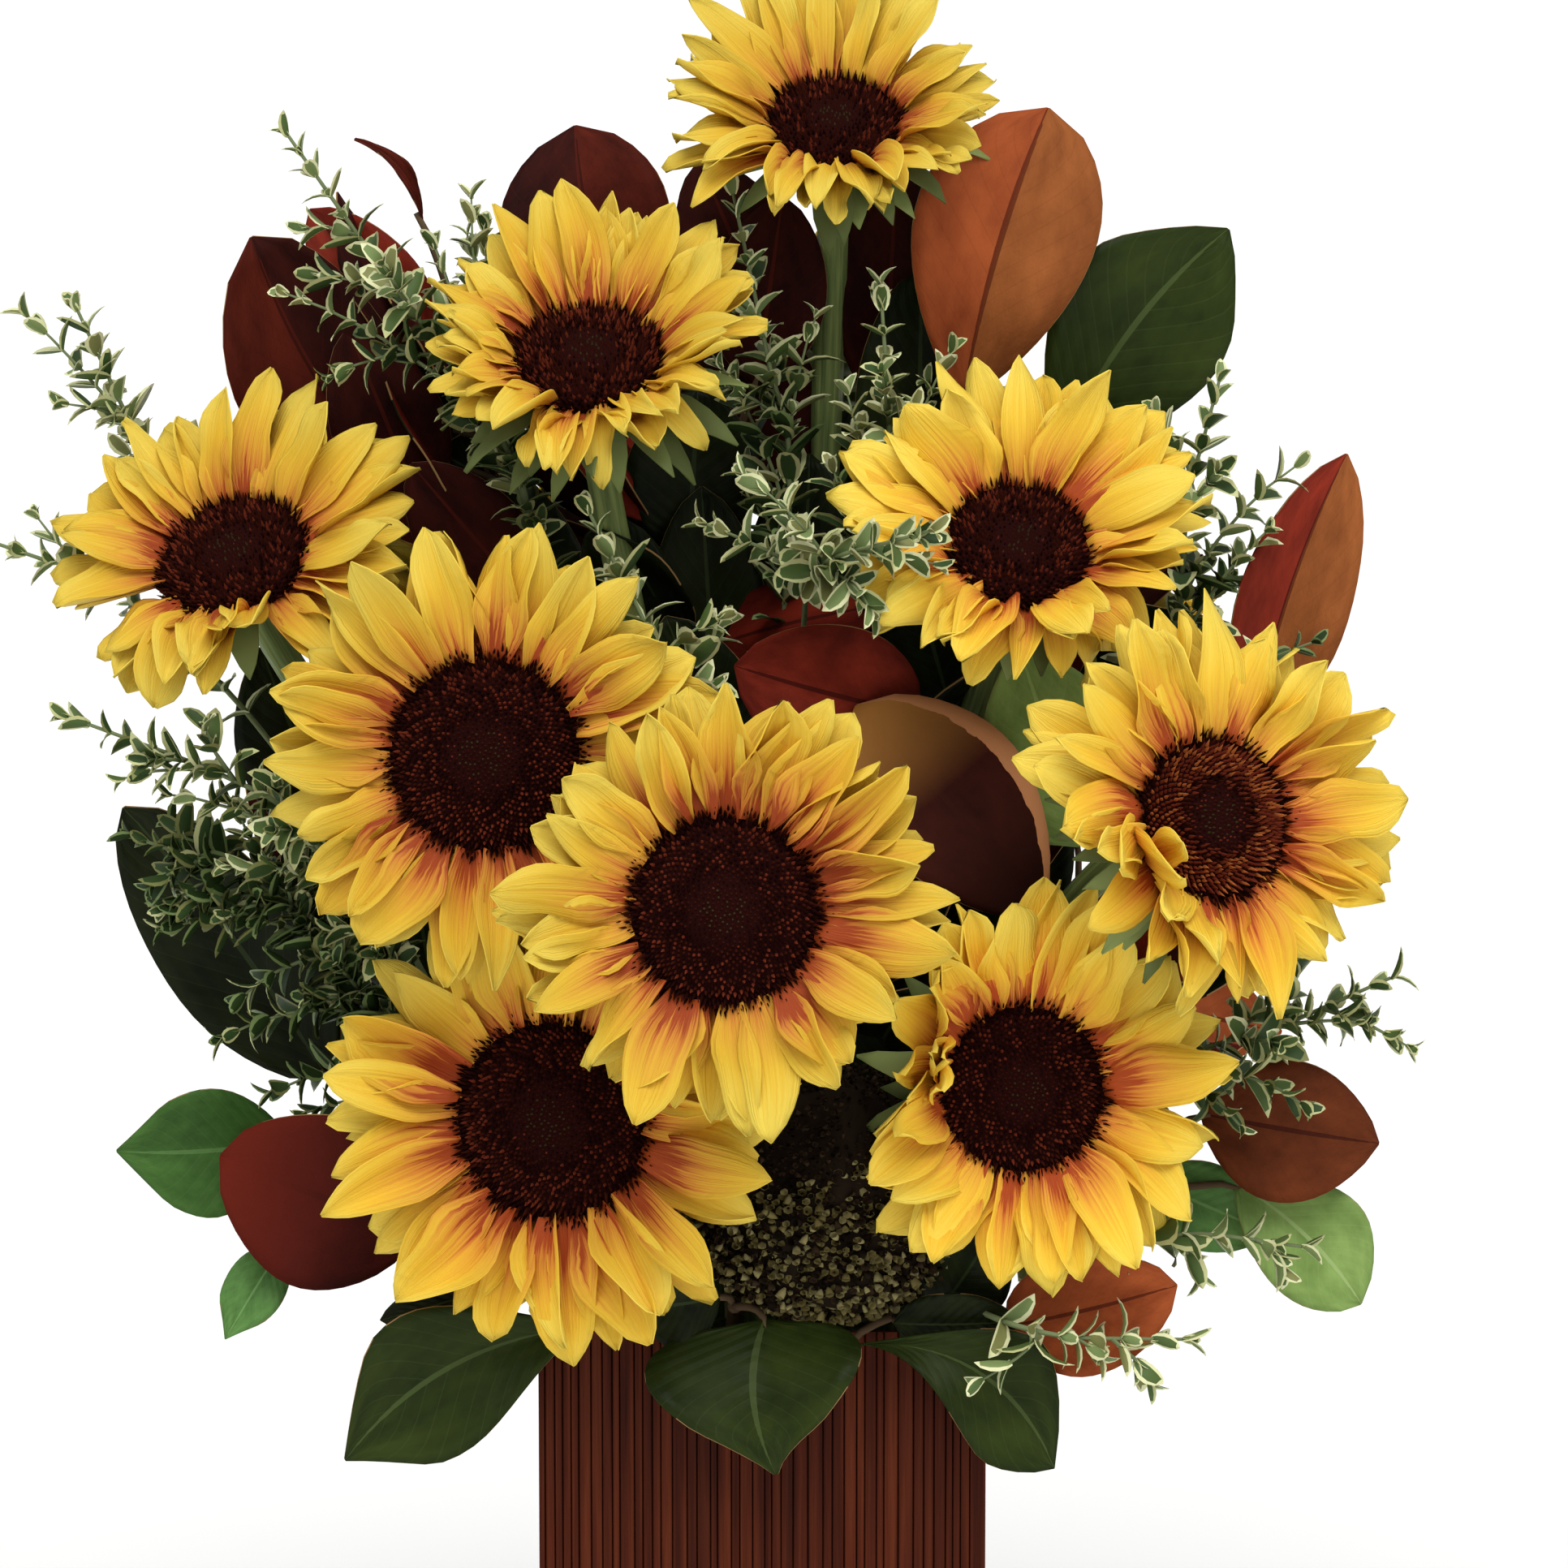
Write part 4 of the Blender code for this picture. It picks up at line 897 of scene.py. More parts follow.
# magnolia: each branch's foot and points, then its leaves: share of the branch, blade root, blade tip,
# width, bow, turn of the face from the front, fold, how pointed the tip is, upper and under finish
# without "leaf", and for some the widest place, a bend to one side and the finish of one half
leafSpec = namedtuple("leafSpec", "share root tip width bow turn fold point upper under more", defaults=({},))
branches = {
    "upper_left": ((-26, 14), [(-44, 10, 300), (-66, 8, 400), (-84, 8, 470)], [
        (0.62, (-84, 0, 418), (-149, -6, 513), 50, -10, 10, 5, 0.1, "Maroon", "Deep",
         {"belly": 0.6, "left": "Wine", "curve": -8}),
        (0.45, (-60, 0, 372), (-72, 0, 442), 34, 3, 0, 3, 0.2, "Deep", "Maroon"),
        (0.4, (-36, 2, 369), (-41, 2, 430), 32, 3, 10, 3, 0.2, "Deep", "Maroon"),
        (0.7, (-100, 6, 430), (-122, 4, 486), 34, 3, 10, 3, 0.2, "Maroon", "Deep"),
        (0.8, (-95, 12, 476), (-134, 20, 520), 28, 4, 0, 5, 0.2, "Red", "Deep", {"left": "Scarlet"}),
        (1.0, (-100, 10, 517), (-120, 12, 541), 4, 6, 20, 1, 0.8, "Wine", "Deep", {"curve": 4}),
        (0.5, (-67, -2, 404), (-103, -8, 447), 32, 3, 0, 3, 0.2, "Maroon", "Deep"),
    ]),
    "top_left": ((-4, 18), [(-14, 16, 320), (-28, 12, 430)], [
        (1.0, (-42, 4, 475), (-55, 8, 545), 50, 5, 0, 7, 0.1, "Maroon", "Green",
         {"right": "Wine", "belly": 0.6, "curve": -2}),
        (0.55, (-14, 6, 371), (-18, 6, 439), 34, 3, 0, 3, 0.2, "Deep", "Maroon"),
        (0.6, (11, 10, 376), (14, 14, 448), 36, 3, 0, 3, 0.2, "Deep", "Maroon"),
        (0.5, (-10, -14, 356), (-28, -26, 404), 34, 3, 0, 3, 0.2, "Deep", "Deep"),
        (0.9, (3, 24, 484), (-19, 30, 534), 34, 4, 0, 3, 0.2, "Maroon", "Green"),
        (0.8, (-22, 10, 417), (-19, 12, 468), 40, 4, 0, 3, 0.2, "Deep", "Maroon"),
        (0.7, (-6, 26, 430), (-2, 30, 492), 42, 3, 0, 3, 0.2, "Maroon", "Deep"),
        (0.6, (24, 26, 398), (30, 30, 462), 42, 3, 0, 3, 0.2, "Deep", "Maroon"),
        (0.9, (-2, 16, 468), (6, 20, 524), 34, 4, 0, 3, 0.2, "Maroon", "Deep"),
    ]),
    "upper_right": ((24, 20), [(40, 12, 320), (60, 14, 410)], [
        # this leaf's left half is painted rust: painted shade on the half beyond the fold
        (1.0, (59, 8, 464), (84, 12, 550), 54, 8, 0, 7, 0.0, "Tan", "Green",
         {"belly": 0.6, "left": "Rust", "curve": -3}),
        (0.7, (46, 18, 428), (47, 18, 503), 38, 4, 0, 4, 0.2, "Deep", "Maroon"),
        (0.9, (36, 26, 462), (40, 28, 536), 34, 4, 0, 4, 0.2, "Maroon", "Deep"),
        (0.5, (56, -10, 372), (40, -20, 430), 36, 4, 0, 4, 0.2, "Deep", "Maroon"),
        (0.92, (88, 16, 447), (138, 22, 514), 54, 5, 15, 5, 0.52, "Green", "Rust",
         {"curve": -7, "belly": 0.54}),
    ]),
    "right": ((46, 8), [(80, 12, 260), (112, 6, 330)], [
        # this leaf's left half is painted scarlet, darker than its tan: painted shade on the half beyond the
        # fold
        (1.0, (143, -16, 362), (171, -10, 450), 35, 6, 15, 7, 0.45, "Tan", "Green",
         {"left": "Scarlet", "belly": 0.52, "curve": -6}),
        (0.8, (124, 30, 346), (156, 42, 392), 40, 5, 60, 4, 0.4, "Deep", "Rust"),
        (0.7, (92, -38, 338), (74, -44, 397), 44, 4, 10, 4, 0.4, "Light", "Rust"),
        (0.5, (71, -6, 298), (77, -6, 368), 36, 4, 0, 3, 0.2, "Deep", "Maroon"),
        (0.12, (66, 16, 208), (104, 24, 230), 30, 4, 70, 3, 0.4, "Deep", "Maroon"),
        (0.2, (62, -6, 214), (82, -10, 256), 32, 4, 40, 3, 0.3, "Deep", "Maroon"),
        (0.16, (64, 34, 210), (92, 52, 236), 32, 4, 110, 3, 0.3, "Deep", "Maroon"),
    ]),
    "centre": ((10, -12), [(20, -14, 260), (34, -20, 345), (38, -24, 368)], [
        (1.0, (46, -40, 377), (-8, -46, 392), 42, 8, 0, 5, 0.1, "Scarlet", "Deep"),
        (0.93, (27, -50, 381), (79, -66, 323), 48, 8, 20, 5, 0.2, "Banded", "Deep"),
        (0.4, (11, -36, 213), (-1, -36, 278), 36, 4, 0, 3, 0.2, "Deep", "Maroon"),
        (0.6, (38, -34, 250), (44, -34, 318), 36, 4, 0, 3, 0.2, "Deep", "Maroon"),
    ]),
    "left": ((-46, 14), [(-84, 12, 232), (-112, 0, 250)], [
        (1.0, (-129, -14, 265), (-188, -14, 346), 46, -8, -10, 5, 0.2, "Deep", "Rust"),
        (0.9, (-119, 4, 293), (-131, 4, 354), 36, 4, 0, 3, 0.2, "Deep", "Maroon"),
        (0.6, (-92, -4, 262), (-104, -6, 326), 36, 4, 0, 3, 0.2, "Deep", "Maroon"),
        (0.15, (-66, 16, 208), (-106, 22, 230), 30, 4, -70, 3, 0.4, "Deep", "Maroon"),
        (0.25, (-64, -8, 214), (-86, -12, 254), 32, 4, -40, 3, 0.3, "Deep", "Maroon"),
        (0.2, (-64, 36, 210), (-92, 54, 236), 32, 4, -110, 3, 0.3, "Deep", "Maroon"),
        (0.7, (-118, 12, 236), (-156, 28, 206), 30, 5, -40, 3, 0.5, "Green", "Rust"),
        (0.35, (-80, 26, 234), (-98, 32, 296), 42, 4, -80, 3, 0.3, "Green", "Rust"),
        (0.5, (-86, -20, 236), (-104, -28, 298), 42, 4, -75, 3, 0.3, "Deep", "Rust"),
        (0.45, (-84, 2, 226), (-112, 8, 280), 42, 4, -90, 3, 0.2, "Green", "Maroon"),
    ]),
    "low_left": ((-50, -30), [(-84, -34, 222)], [
        (1.0, (-139, -32, 250), (-189, -38, 248), 38, 4, -10, 4, 0.8, "Mid", "Rust", {"curve": -1}),
        (0.9, (-99, -52, 228), (-157, -54, 250), 53, 5, -10, 5, 0.05, "Blushed", "Green"),
        (0.8, (-140, -40, 221), (-157, -48, 194), 18, 3, -10, 2, 0.8, "Young", "Rust"),
        (0.4, (-70, -30, 214), (-104, -24, 240), 34, 4, -80, 3, 0.4, "Green", "Rust"),
    ]),
    "front_left": ((-50, -50), [(-56, -62, 208)], [
        (1.0, (-51, -71, 203), (-120, -80, 166), 44, 4, 10, 6, 0.9, "Green", "Rust",
         {"belly": 0.6, "curve": 10}),
        (0.8, (-76, -56, 212), (-111, -58, 202), 16, 2, 0, 2, 0.5, "Deep", "Rust"),
    ]),
    "front": ((-8, -50), [(-8, -62, 207)], [
        (1.0, (1, -74, 206), (4, -89, 164), 62, 5, 0, 8, 1.0, "Green", "Rust", {"belly": 0.3, "curve": 5}),
        (0.8, (-12, -72, 212), (-38, -78, 210), 26, 3, 0, 3, 0.6, "Deep", "Rust"),
    ]),
    "front_right": ((44, -51), [(43, -62, 206)], [
        (1.0, (25, -72, 198), (84, -81, 164), 38, 5, 10, 4, 0.7, "Green", "Rust",
         {"belly": 0.72, "curve": -13}),
        (0.5, (50, -64, 205), (68, -70, 234), 26, 3, 10, 3, 0.3, "Deep", "Deep"),
        (0.6, (38, -70, 204), (74, -76, 206), 20, 3, 10, 2, 0.3, "Deep", "Deep"),
    ]),
    "low_right": ((50, -30), [(82, -46, 232)], [
        (1.0, (127, -52, 262), (179, -52, 253), 42, 4, 10, 4, 0.5, "Russet", "Green"),
        (0.9, (138, -44, 240), (175, -46, 204), 34, 4, 10, 4, 0.3, "Fresh", "Rust",
         {"curve": -3, "belly": 0.55}),
        (0.8, (112, -38, 240), (149, -40, 224), 26, 3, 0, 3, 0.4, "Young", "Rust"),
        (0.5, (70, -70, 203), (119, -78, 217), 36, 4, 0, 6, 0.1, "Rust", "Green"),
    ]),
    "back_left": ((-46, 36), [(-80, 52, 260), (-112, 50, 310)], [
        (1.0, (-126, 14, 330), (-150, 16, 390), 36, 3, 200, 4, 0.4, "Green", "Deep"),
        (0.7, (-104, 64, 276), (-160, 92, 258), 44, 6, 150, 5, 0.2, "Rust", "Green"),
        (0.5, (-70, 78, 240), (-98, 118, 192), 38, 6, 160, 5, 0.7, "Deep", "Rust"),
        (0.4, (-78, 58, 262), (-104, 72, 314), 42, 4, 230, 3, 0.3, "Green", "Rust"),
        (0.3, (-66, 50, 226), (-98, 70, 256), 38, 4, 235, 3, 0.3, "Deep", "Maroon"),
        (0.6, (-92, 40, 300), (-116, 34, 356), 38, 4, 260, 3, 0.3, "Maroon", "Deep"),
    ]),
    "back_right": ((46, 36), [(80, 52, 260), (112, 50, 310)], [
        (1.0, (136, 60, 306), (168, 76, 352), 42, 6, 160, 5, 0.3, "Red", "Green"),
        (0.7, (104, 64, 276), (162, 90, 260), 44, 6, 210, 5, 0.6, "Green", "Rust"),
        (0.5, (70, 78, 240), (96, 118, 194), 38, 6, 200, 5, 0.7, "Deep", "Rust"),
    ]),
    "back": ((-20, 50), [(-28, 66, 290), (-36, 56, 400)], [
        (1.0, (-44, 54, 446), (-72, 58, 520), 44, 6, 180, 5, 0.2, "Rust", "Green"),
        (0.2, (-26, 84, 220), (-32, 120, 166), 42, 6, 180, 5, 0.7, "Deep", "Rust"),
        (0.1, (4, 68, 206), (26, 104, 196), 32, 4, 170, 4, 0.5, "Deep", "Maroon"),
        (0.15, (-44, 66, 208), (-70, 96, 214), 32, 4, 200, 4, 0.4, "Deep", "Maroon"),
        (0.2, (30, 66, 210), (58, 92, 226), 32, 4, 150, 4, 0.4, "Deep", "Maroon"),
    ]),
}

bladeForm = {
    "columns": 10,
    "rows": 16,
    "thick": 0.6,
    "belly": 0.47,
    "least": 0.02,
    "tipFrom": 0.72,
    "tipNarrow": 0.45,
    "ripple": 1.0,
    "waves": 11,
    "ribDepth": 0.7,
    "ribWidth": 0.08,
    "rimFacing": 0.35,
    "stalk": (1.5, 0.9),
    "branch": 2.8,
    "fillLength": (52, 78),
    "fillWidth": (24, 34),
    "fillEach": 14,
    "fillAside": 0.05,
    "fillSide": 0.17,
    "fillFront": -0.09,
}


def clearOfHeads(points, ahead, behind, share):
    # whether none of the points lies in the slab that a head's rays sweep
    for back, reach in headSlabs:
        for point in points:
            own = back @ point
            if math.hypot(own.x, own.y) < reach * share and -behind * mm < own.z < ahead * mm:
                return False
    return True


headSlabs = [(headPlace(head).inverted(), (head.disc + head.ray) * mm) for head in heads.values()]


def addBlade(bm, layer, leaf, rng, shades):
    # a flat grid shaped into a magnolia leaf, then given its thickness
    root, tip = millimetres(leaf.root), millimetres(leaf.tip)
    width, bow, fold, point = leaf.width * mm, leaf.bow * mm, leaf.fold * mm, leaf.point
    swell = math.log(0.5) / math.log(leaf.more.get("belly", bladeForm["belly"]))
    turn = math.radians(leaf.turn)
    along = (tip - root).normalized()
    front = Vector((math.sin(turn), -math.cos(turn), 0))
    face = (front - along * front.dot(along)).normalized()
    side = along.cross(face)
    tint = rng.random()
    phase = rng.uniform(0, math.tau)
    old = set(bm.faces)
    columns, rows = bladeForm["columns"], bladeForm["rows"]
    for vert in bmesh.ops.create_grid(bm, x_segments=columns, y_segments=rows, size=1)["verts"]:
        u, v = vert.co.x, (vert.co.y + 1) / 2
        shape = max(0, math.sin(math.pi * v**swell)) ** (0.55 + 0.3 * point)
        if point > 0.5 and v > bladeForm["tipFrom"]:
            pastShare = (v - bladeForm["tipFrom"]) / 0.28
            shape *= 1 - bladeForm["tipNarrow"] * point * pastShare
        half = width / 2 * max(shape, bladeForm["least"])
        lift = fold * math.sin(math.pi * v) * abs(u) ** 1.25
        wave = math.sin(phase + bladeForm["waves"] * v + 2 * u)
        lift += bladeForm["ripple"] * mm * u * u * wave * shape
        lift -= bladeForm["ribDepth"] * mm * math.exp(-((u / bladeForm["ribWidth"]) ** 2)) * shape
        aside = u * half + leaf.more.get("curve", 0) * mm * 4 * v * (1 - v)
        vert.co = root.lerp(tip, v) + face * (bow * 4 * v * (1 - v) + lift) + side * aside
        vert[layer] = Vector((u, v, tint))
    made = [f for f in bm.faces if f not in old]
    thicken(bm, made, bladeForm["thick"])
    made = [f for f in bm.faces if f not in old]
    bmesh.ops.recalc_face_normals(bm, faces=made)
    for item in made:
        item.normal_update()
        facing = item.normal.dot(face)
        across = sum(v[layer].x for v in item.verts)
        # a half can take its own finish; on some folded leaves a darker one, which is painted shade
        half = "right" if across > 0 else "left"
        item.material_index = leafShade(leaf.more[half]) if half in leaf.more else shades[0]
        if facing < bladeForm["rimFacing"]:
            item.material_index = shades[1] if facing < -bladeForm["rimFacing"] else shades[2]


def fillerLeaf(path, rng):
    # one more leaf on a branch: outwards and up from a point along it
    share = rng.uniform(0.3, 0.98)
    start = pathAt(path, share)
    aside = Vector((rng.uniform(-1, 1), rng.uniform(-1, 1), 0))
    heading = Vector((start.x, start.y - 0.01, 0)) + aside * bladeForm["fillAside"]
    heading = (heading.normalized() + up * rng.uniform(0.2, 1.5)).normalized()
    length = rng.uniform(*bladeForm["fillLength"]) * mm
    root = start + heading * 10 * mm
    tip = root + heading * length
    turn = math.degrees(math.atan2(heading.x, -heading.y)) + rng.uniform(-70, 70)
    kinds = rng.choice((("Deep", "Red"), ("Deep", "Maroon"), ("Maroon", "Deep")))
    width = rng.uniform(*bladeForm["fillWidth"])
    bow, point = rng.uniform(-6, 8), rng.uniform(0.1, 0.9)
    return leafSpec(share, root / mm, tip / mm, width, bow, turn, 4, point, *kinds)


leafKinds = list(bladeLooks) + ["leafRim"]


def leafShade(kind):
    return leafKinds.index("leaf" + kind)


def makeMagnolia(name, branch, seed, twigs):
    foot, points, leaves = branch
    rng = random.Random(700 + seed)
    path = risingPath(foot, points, 4)
    radius = bladeForm["branch"] * mm
    addTube(twigs, path, taper(radius, radius * 0.7, len(path)), 8, shade=1)
    leaves = [leafSpec(*row) for row in leaves]
    tries = bladeForm["fillEach"] if pathLength(path) > 100 * mm else 0
    for _ in range(tries):
        leaf = fillerLeaf(path, rng)
        spots = [millimetres(leaf.root).lerp(millimetres(leaf.tip), k / 6) for k in range(7)]
        side, front = bladeForm["fillSide"], bladeForm["fillFront"]
        if clearOfHeads(spots, 24, 24, 0.8) and all(abs(p.x) < side and p.y > front for p in spots):
            leaves.append(leaf)
    bm = bmesh.new()
    layer = bm.verts.layers.float_vector.new("blade")
    for leaf in leaves:
        addBlade(bm, layer, leaf, rng, [leafShade(kind) for kind in (leaf.upper, leaf.under, "Rim")])
        start, root = pathAt(path, min(leaf.share, 0.97)), millimetres(leaf.root)
        run = (millimetres(leaf.tip) - root).normalized()
        rise = start.lerp(root, 0.4) + up * 2 * mm
        stalk = bezierPath(start, rise, root - run * 4 * mm, root + run * 3 * mm, 5)
        thick, thin = bladeForm["stalk"]
        addTube(twigs, stalk, taper(thick * mm, thin * mm, len(stalk)), 6, shade=1)
    addPiece("leaves_" + name, bm, leafKinds, ["magnolia_" + name])


# box: each sprig's foot, its main twig's points, the tips of its side twigs with where they leave,
# the share of the main twig that is bare, and how light its leaves are
sprigs = {
    "upper_left": ((-34, 4), [(-52, -8, 330), (-70, -18, 442), (-106, -20, 498), (-130, -20, 533)],
        [(0.72, (-142, -26, 501)), (0.66, (-86, -10, 532)), (0.78, (-127, -27, 474)), (0.6, (-98, -8, 518)),
         (0.64, (-82, -8, 522))], 0.6, "light"),
    "far_left": ((-52, 2), [(-110, 2, 320), (-160, 2, 420), (-184, 2, 455), (-196, 2, 480)],
        [(0.82, (-219, 0, 494))], 0.68, "light"),
    "left": ((-53, -14), [(-120, -10, 330), (-180, -12, 404), (-221, -14, 423)],
        [(0.84, (-214, -12, 433))], 0.68, "sparse"),
    "left_low": ((-53, -24), [(-96, -50, 290), (-130, -64, 346), (-152, -66, 362), (-187, -62, 375)],
        [(0.82, (-184, -66, 362)), (0.6, (-156, -58, 336)), (0.66, (-173, -60, 358)),
         (0.56, (-156, -57, 357))], 0.5, "mid"),
    "left_mass": ((-44, -48), [(-84, -44, 250), (-120, -40, 300), (-146, -44, 328), (-171, -44, 338)],
        [(0.45, (-146, -50, 268)), (0.55, (-160, -50, 284)), (0.6, (-128, -34, 346)),
         (0.7, (-176, -46, 316)), (0.66, (-152, -50, 296)), (0.7, (-154, -46, 354)),
         (0.4, (-136, -50, 262)), (0.3, (-112, -14, 296))], 0.3, "dark"),
    "centre_column": ((16, -4), [(24, -10, 330), (36, -24, 437), (36, -24, 470), (35, -24, 488)],
        [(0.74, (56, -26, 486)), (0.66, (50, -28, 458)), (0.7, (24, -30, 474)),
         (0.62, (20, -32, 452))], 0.6, "light"),
    "centre_left": ((0, 4), [(2, -4, 320), (8, -14, 441), (2, -12, 476), (-6, -10, 514)],
        [(0.74, (16, -12, 494)), (0.7, (-18, -14, 486))], 0.62, "light"),
    "middle": ((4, -32), [(8, -30, 330), (12, -33, 402), (16, -78, 424), (38, -102, 434)],
        [(0.78, (-18, -76, 437)), (0.85, (-6, -82, 452)), (0.83, (31, -104, 415))], 0.76, "light"),
    "middle_left": ((-16, -30), [(-22, -54, 300), (-24, -80, 376), (-30, -80, 401), (-43, -78, 428)],
        [(0.81, (-11, -80, 411)), (0.77, (-14, -88, 392))], 0.74, "light"),
    "upper_right": ((38, 2), [(98, -14, 290), (120, -24, 400), (123, -28, 436), (129, -28, 461)],
        [(0.76, (157, -30, 452)), (0.7, (148, -32, 433)), (0.84, (114, -26, 466)),
         (0.6, (162, -50, 403))], 0.58, "light"),
    "right_low": ((52, -20), [(90, -50, 250), (122, -62, 280), (146, -66, 289), (169, -70, 300)],
        [(0.8, (172, -74, 293)), (0.62, (157, -81, 270)), (0.6, (139, -76, 262))], 0.5, "mid"),
    "foot_right": ((52, -42), [(76, -60, 222), (104, -74, 229), (126, -74, 231), (143, -74, 229)],
        [(0.7, (126, -72, 219)), (0.9, (150, -74, 221))], 0.35, "sparse"),
    "foot_front": ((54, -51), [(60, -68, 208), (72, -90, 208), (88, -92, 205), (108, -90, 204)],
        [(0.6, (62, -94, 192)), (0.7, (96, -93, 200))], 0.5, "sparse"),
    "back_left": ((-20, 34), [(-44, 44, 320), (-62, 30, 430), (-84, 30, 500)],
        [(0.7, (-96, 40, 462)), (0.8, (-58, 34, 496))], 0.45, "mid"),
    "back_right": ((22, 40), [(44, 44, 320), (56, 30, 430), (60, 30, 500)],
        [(0.7, (84, 40, 462)), (0.8, (76, 34, 490))], 0.45, "mid"),
    "back_low": ((24, 51), [(40, 84, 230), (60, 98, 268), (84, 104, 290)],
        [(0.7, (96, 100, 252)), (0.5, (50, 112, 232))], 0.35, "mid"),
}

sprigForm = {
    "tipReach": 12.0,
    "leafLength": (10.5, 15.5),
    "leafWidth": 0.54,
    "leafRows": (0, 0.14, 0.38, 0.62, 0.86, 1),
    "margin": 0.64,
    "mainTwig": 1.3,
    "sideTwig": 0.9,
    "twigTaper": 0.4,
    "shootLength": (14.0, 26.0),
    "shootsTo": 0.92,
}

# how the pairs of leaves on a twig differ: their turn, how far they spread, and the extra pairs
pairSpread = {
    "turn": 0.35,
    "smallFrom": 0.6,
    "smaller": 0.35,
    "lean": (0.35, 0.9),
    "tipLean": 0.8,
    "jitter": 0.2,
    "extra": 0.6,
    "extraSize": (0.5, 0.8),
    "extraLean": 0.5,
}


def boxLeafMesh(curl, fold):
    # one small oval leaf of length 1: a green middle with a cream margin
    bm = bmesh.new()
    grid = bmesh.ops.create_grid(bm, x_segments=4, y_segments=5, size=1)["verts"]
    for vert in grid:
        u, v = vert.co.x, (vert.co.y + 1) / 2
        u = math.copysign(sprigForm["margin"], u) if 0.1 < abs(u) < 0.9 else u
        v = sprigForm["leafRows"][round(v * 5)]
        half = sprigForm["leafWidth"] / 2 * max(math.sin(math.pi * min(1, 0.06 + 0.94 * v)) ** 0.6, 0.05)
        vert.co = Vector((u * half, v, fold * abs(u) * half * 2 + curl * (v - v * v * 1.6)))
    for face in bm.faces:
        middle = face.calc_center_median()
        atMargin = all(abs(v.co.x) >= 1e-4 for v in face.verts)
        face.material_index = 1 if atMargin or middle.y > 0.88 else 0
        face.smooth = True
    bm.verts.index_update()
    return bm


def leafPlace(point, way, axis, size):
    # local Y runs along the leaf and local Z is its upper face
    side = way.cross(axis).normalized()
    matrix = Matrix((side, way, side.cross(way))).transposed().to_4x4()
    matrix.translation = point
    return matrix @ Matrix.Scale(size, 4)


def leavesAlong(path, first, rng, places, young, step):
    # facing pairs up a twig, each turned from the last and smaller towards its tip
    look = pairSpread
    count = max(2, round(pathLength(path) * (1 - first) / (step * mm)))
    turn = rng.uniform(0, math.tau)
    for k in range(count + 1):
        share = first + (1 - first) * k / count
        point = pathAt(path, min(share, 0.999))
        axis = pathHeading(path, share, 0.02, 0.02)
        cross = axis.orthogonal().normalized()
        cross.rotate(Matrix.Rotation(turn, 3, axis))
        turn += math.radians(90) + rng.uniform(-look["turn"], look["turn"])
        nearTip = max(0, k / count - look["smallFrom"]) / (1 - look["smallFrom"])
        size = rng.uniform(*sprigForm["leafLength"]) * mm * (1 - look["smaller"] * nearTip) * young
        lean = rng.uniform(*look["lean"]) + (look["tipLean"] if k >= count - 1 else 0)
        pairs = [(cross, size, lean)]
        if rng.random() < look["extra"]:
            small = size * rng.uniform(*look["extraSize"])
            pairs.append((cross.cross(axis), small, lean + look["extraLean"]))
        for base, own, ahead in pairs:
            for sign in (1, -1):
                jitter = look["jitter"]
                aside = Vector(rng.uniform(-jitter, jitter) for _ in range(3))
                way = (base * sign + axis * (ahead + rng.uniform(-jitter, jitter)) + aside).normalized()
                spots = [point + way * own * t for t in (0.3, 1)]
                if clearOfHeads(spots, 9, 10, 0.86):
                    places.append(leafPlace(point, way, axis, own * rng.uniform(0.85, 1.1)))


def addTwig(twigs, path, thick, sides):
    radius = thick * mm
    addTube(twigs, path, taper(radius, radius * sprigForm["twigTaper"], len(path)), sides)


def makeSprig(sprig, seed, twigs):
    foot, points, sides, bare, tone = sprig
    step, shootEvery = boxTones[tone][1:]
    rng = random.Random(900 + seed)
    path = risingPath(foot, points, 4)
    axis = (path[-1] - path[-2]).normalized()
    path.append(path[-1] + axis * sprigForm["tipReach"] * mm)
    addTwig(twigs, path, sprigForm["mainTwig"], 5)
    places = []
    leavesAlong(path, bare, rng, places, 1.0, step)
    runs = []
    for share, tip in sides:
        start, end = pathAt(path, share), millimetres(tip)
        bend = start + pathHeading(path, share, 0.1) * (end - start).length * 0.4
        runs.append(bezierPath(start, start.lerp(bend, 0.6), bend.lerp(end, 0.5), end.lerp(start, 0.08), 6))
    shoots = int(pathLength(path) * (1 - bare) / (step * shootEvery * mm))
    for k in range(shoots):
        share = bare + (sprigForm["shootsTo"] - bare) * (k + rng.random()) / shoots
        start = pathAt(path, share)
        heading = pathHeading(path, share, 0.03)
        out = heading.orthogonal().normalized()
        out.rotate(Matrix.Rotation(rng.uniform(0, math.tau), 3, heading))
        end = start + (out + heading * 0.9).normalized() * rng.uniform(*sprigForm["shootLength"]) * mm
        if clearOfHeads([end, start.lerp(end, 0.5)], 12, 12, 0.9):
            runs.append([start, start.lerp(end, 0.5) + heading * 1.5 * mm, end])
    for run in runs:
        addTwig(twigs, run, sprigForm["sideTwig"], 4)
        leavesAlong(run, 0.15, rng, places, 0.9, step)
    return places


boxShades = [
    ("boxGreen", "boxCream"),
    ("boxGrey", "boxPale"),
    ("boxDeep", "boxCream"),
    ("boxGreen", "boxPale"),
    ("boxDark", "boxGrey"),
    ("boxOlive", "boxPale"),
    ("boxDeep", "boxOlive"),
]
# each tone: the pairs of shades dealt out, the step between leaves, and how rarely a shoot leaves the twig
boxTones = {
    "sparse": ((0, 1, 1, 3, 5), 9.0, 6.0),
    "light": ((0, 1, 1, 3, 5, 2), 7.2, 2.6),
    "mid": ((0, 0, 1, 2, 3, 6), 6.8, 2.0),
    "dark": ((2, 4, 4, 6, 6, 4), 5.0, 1.1),
}
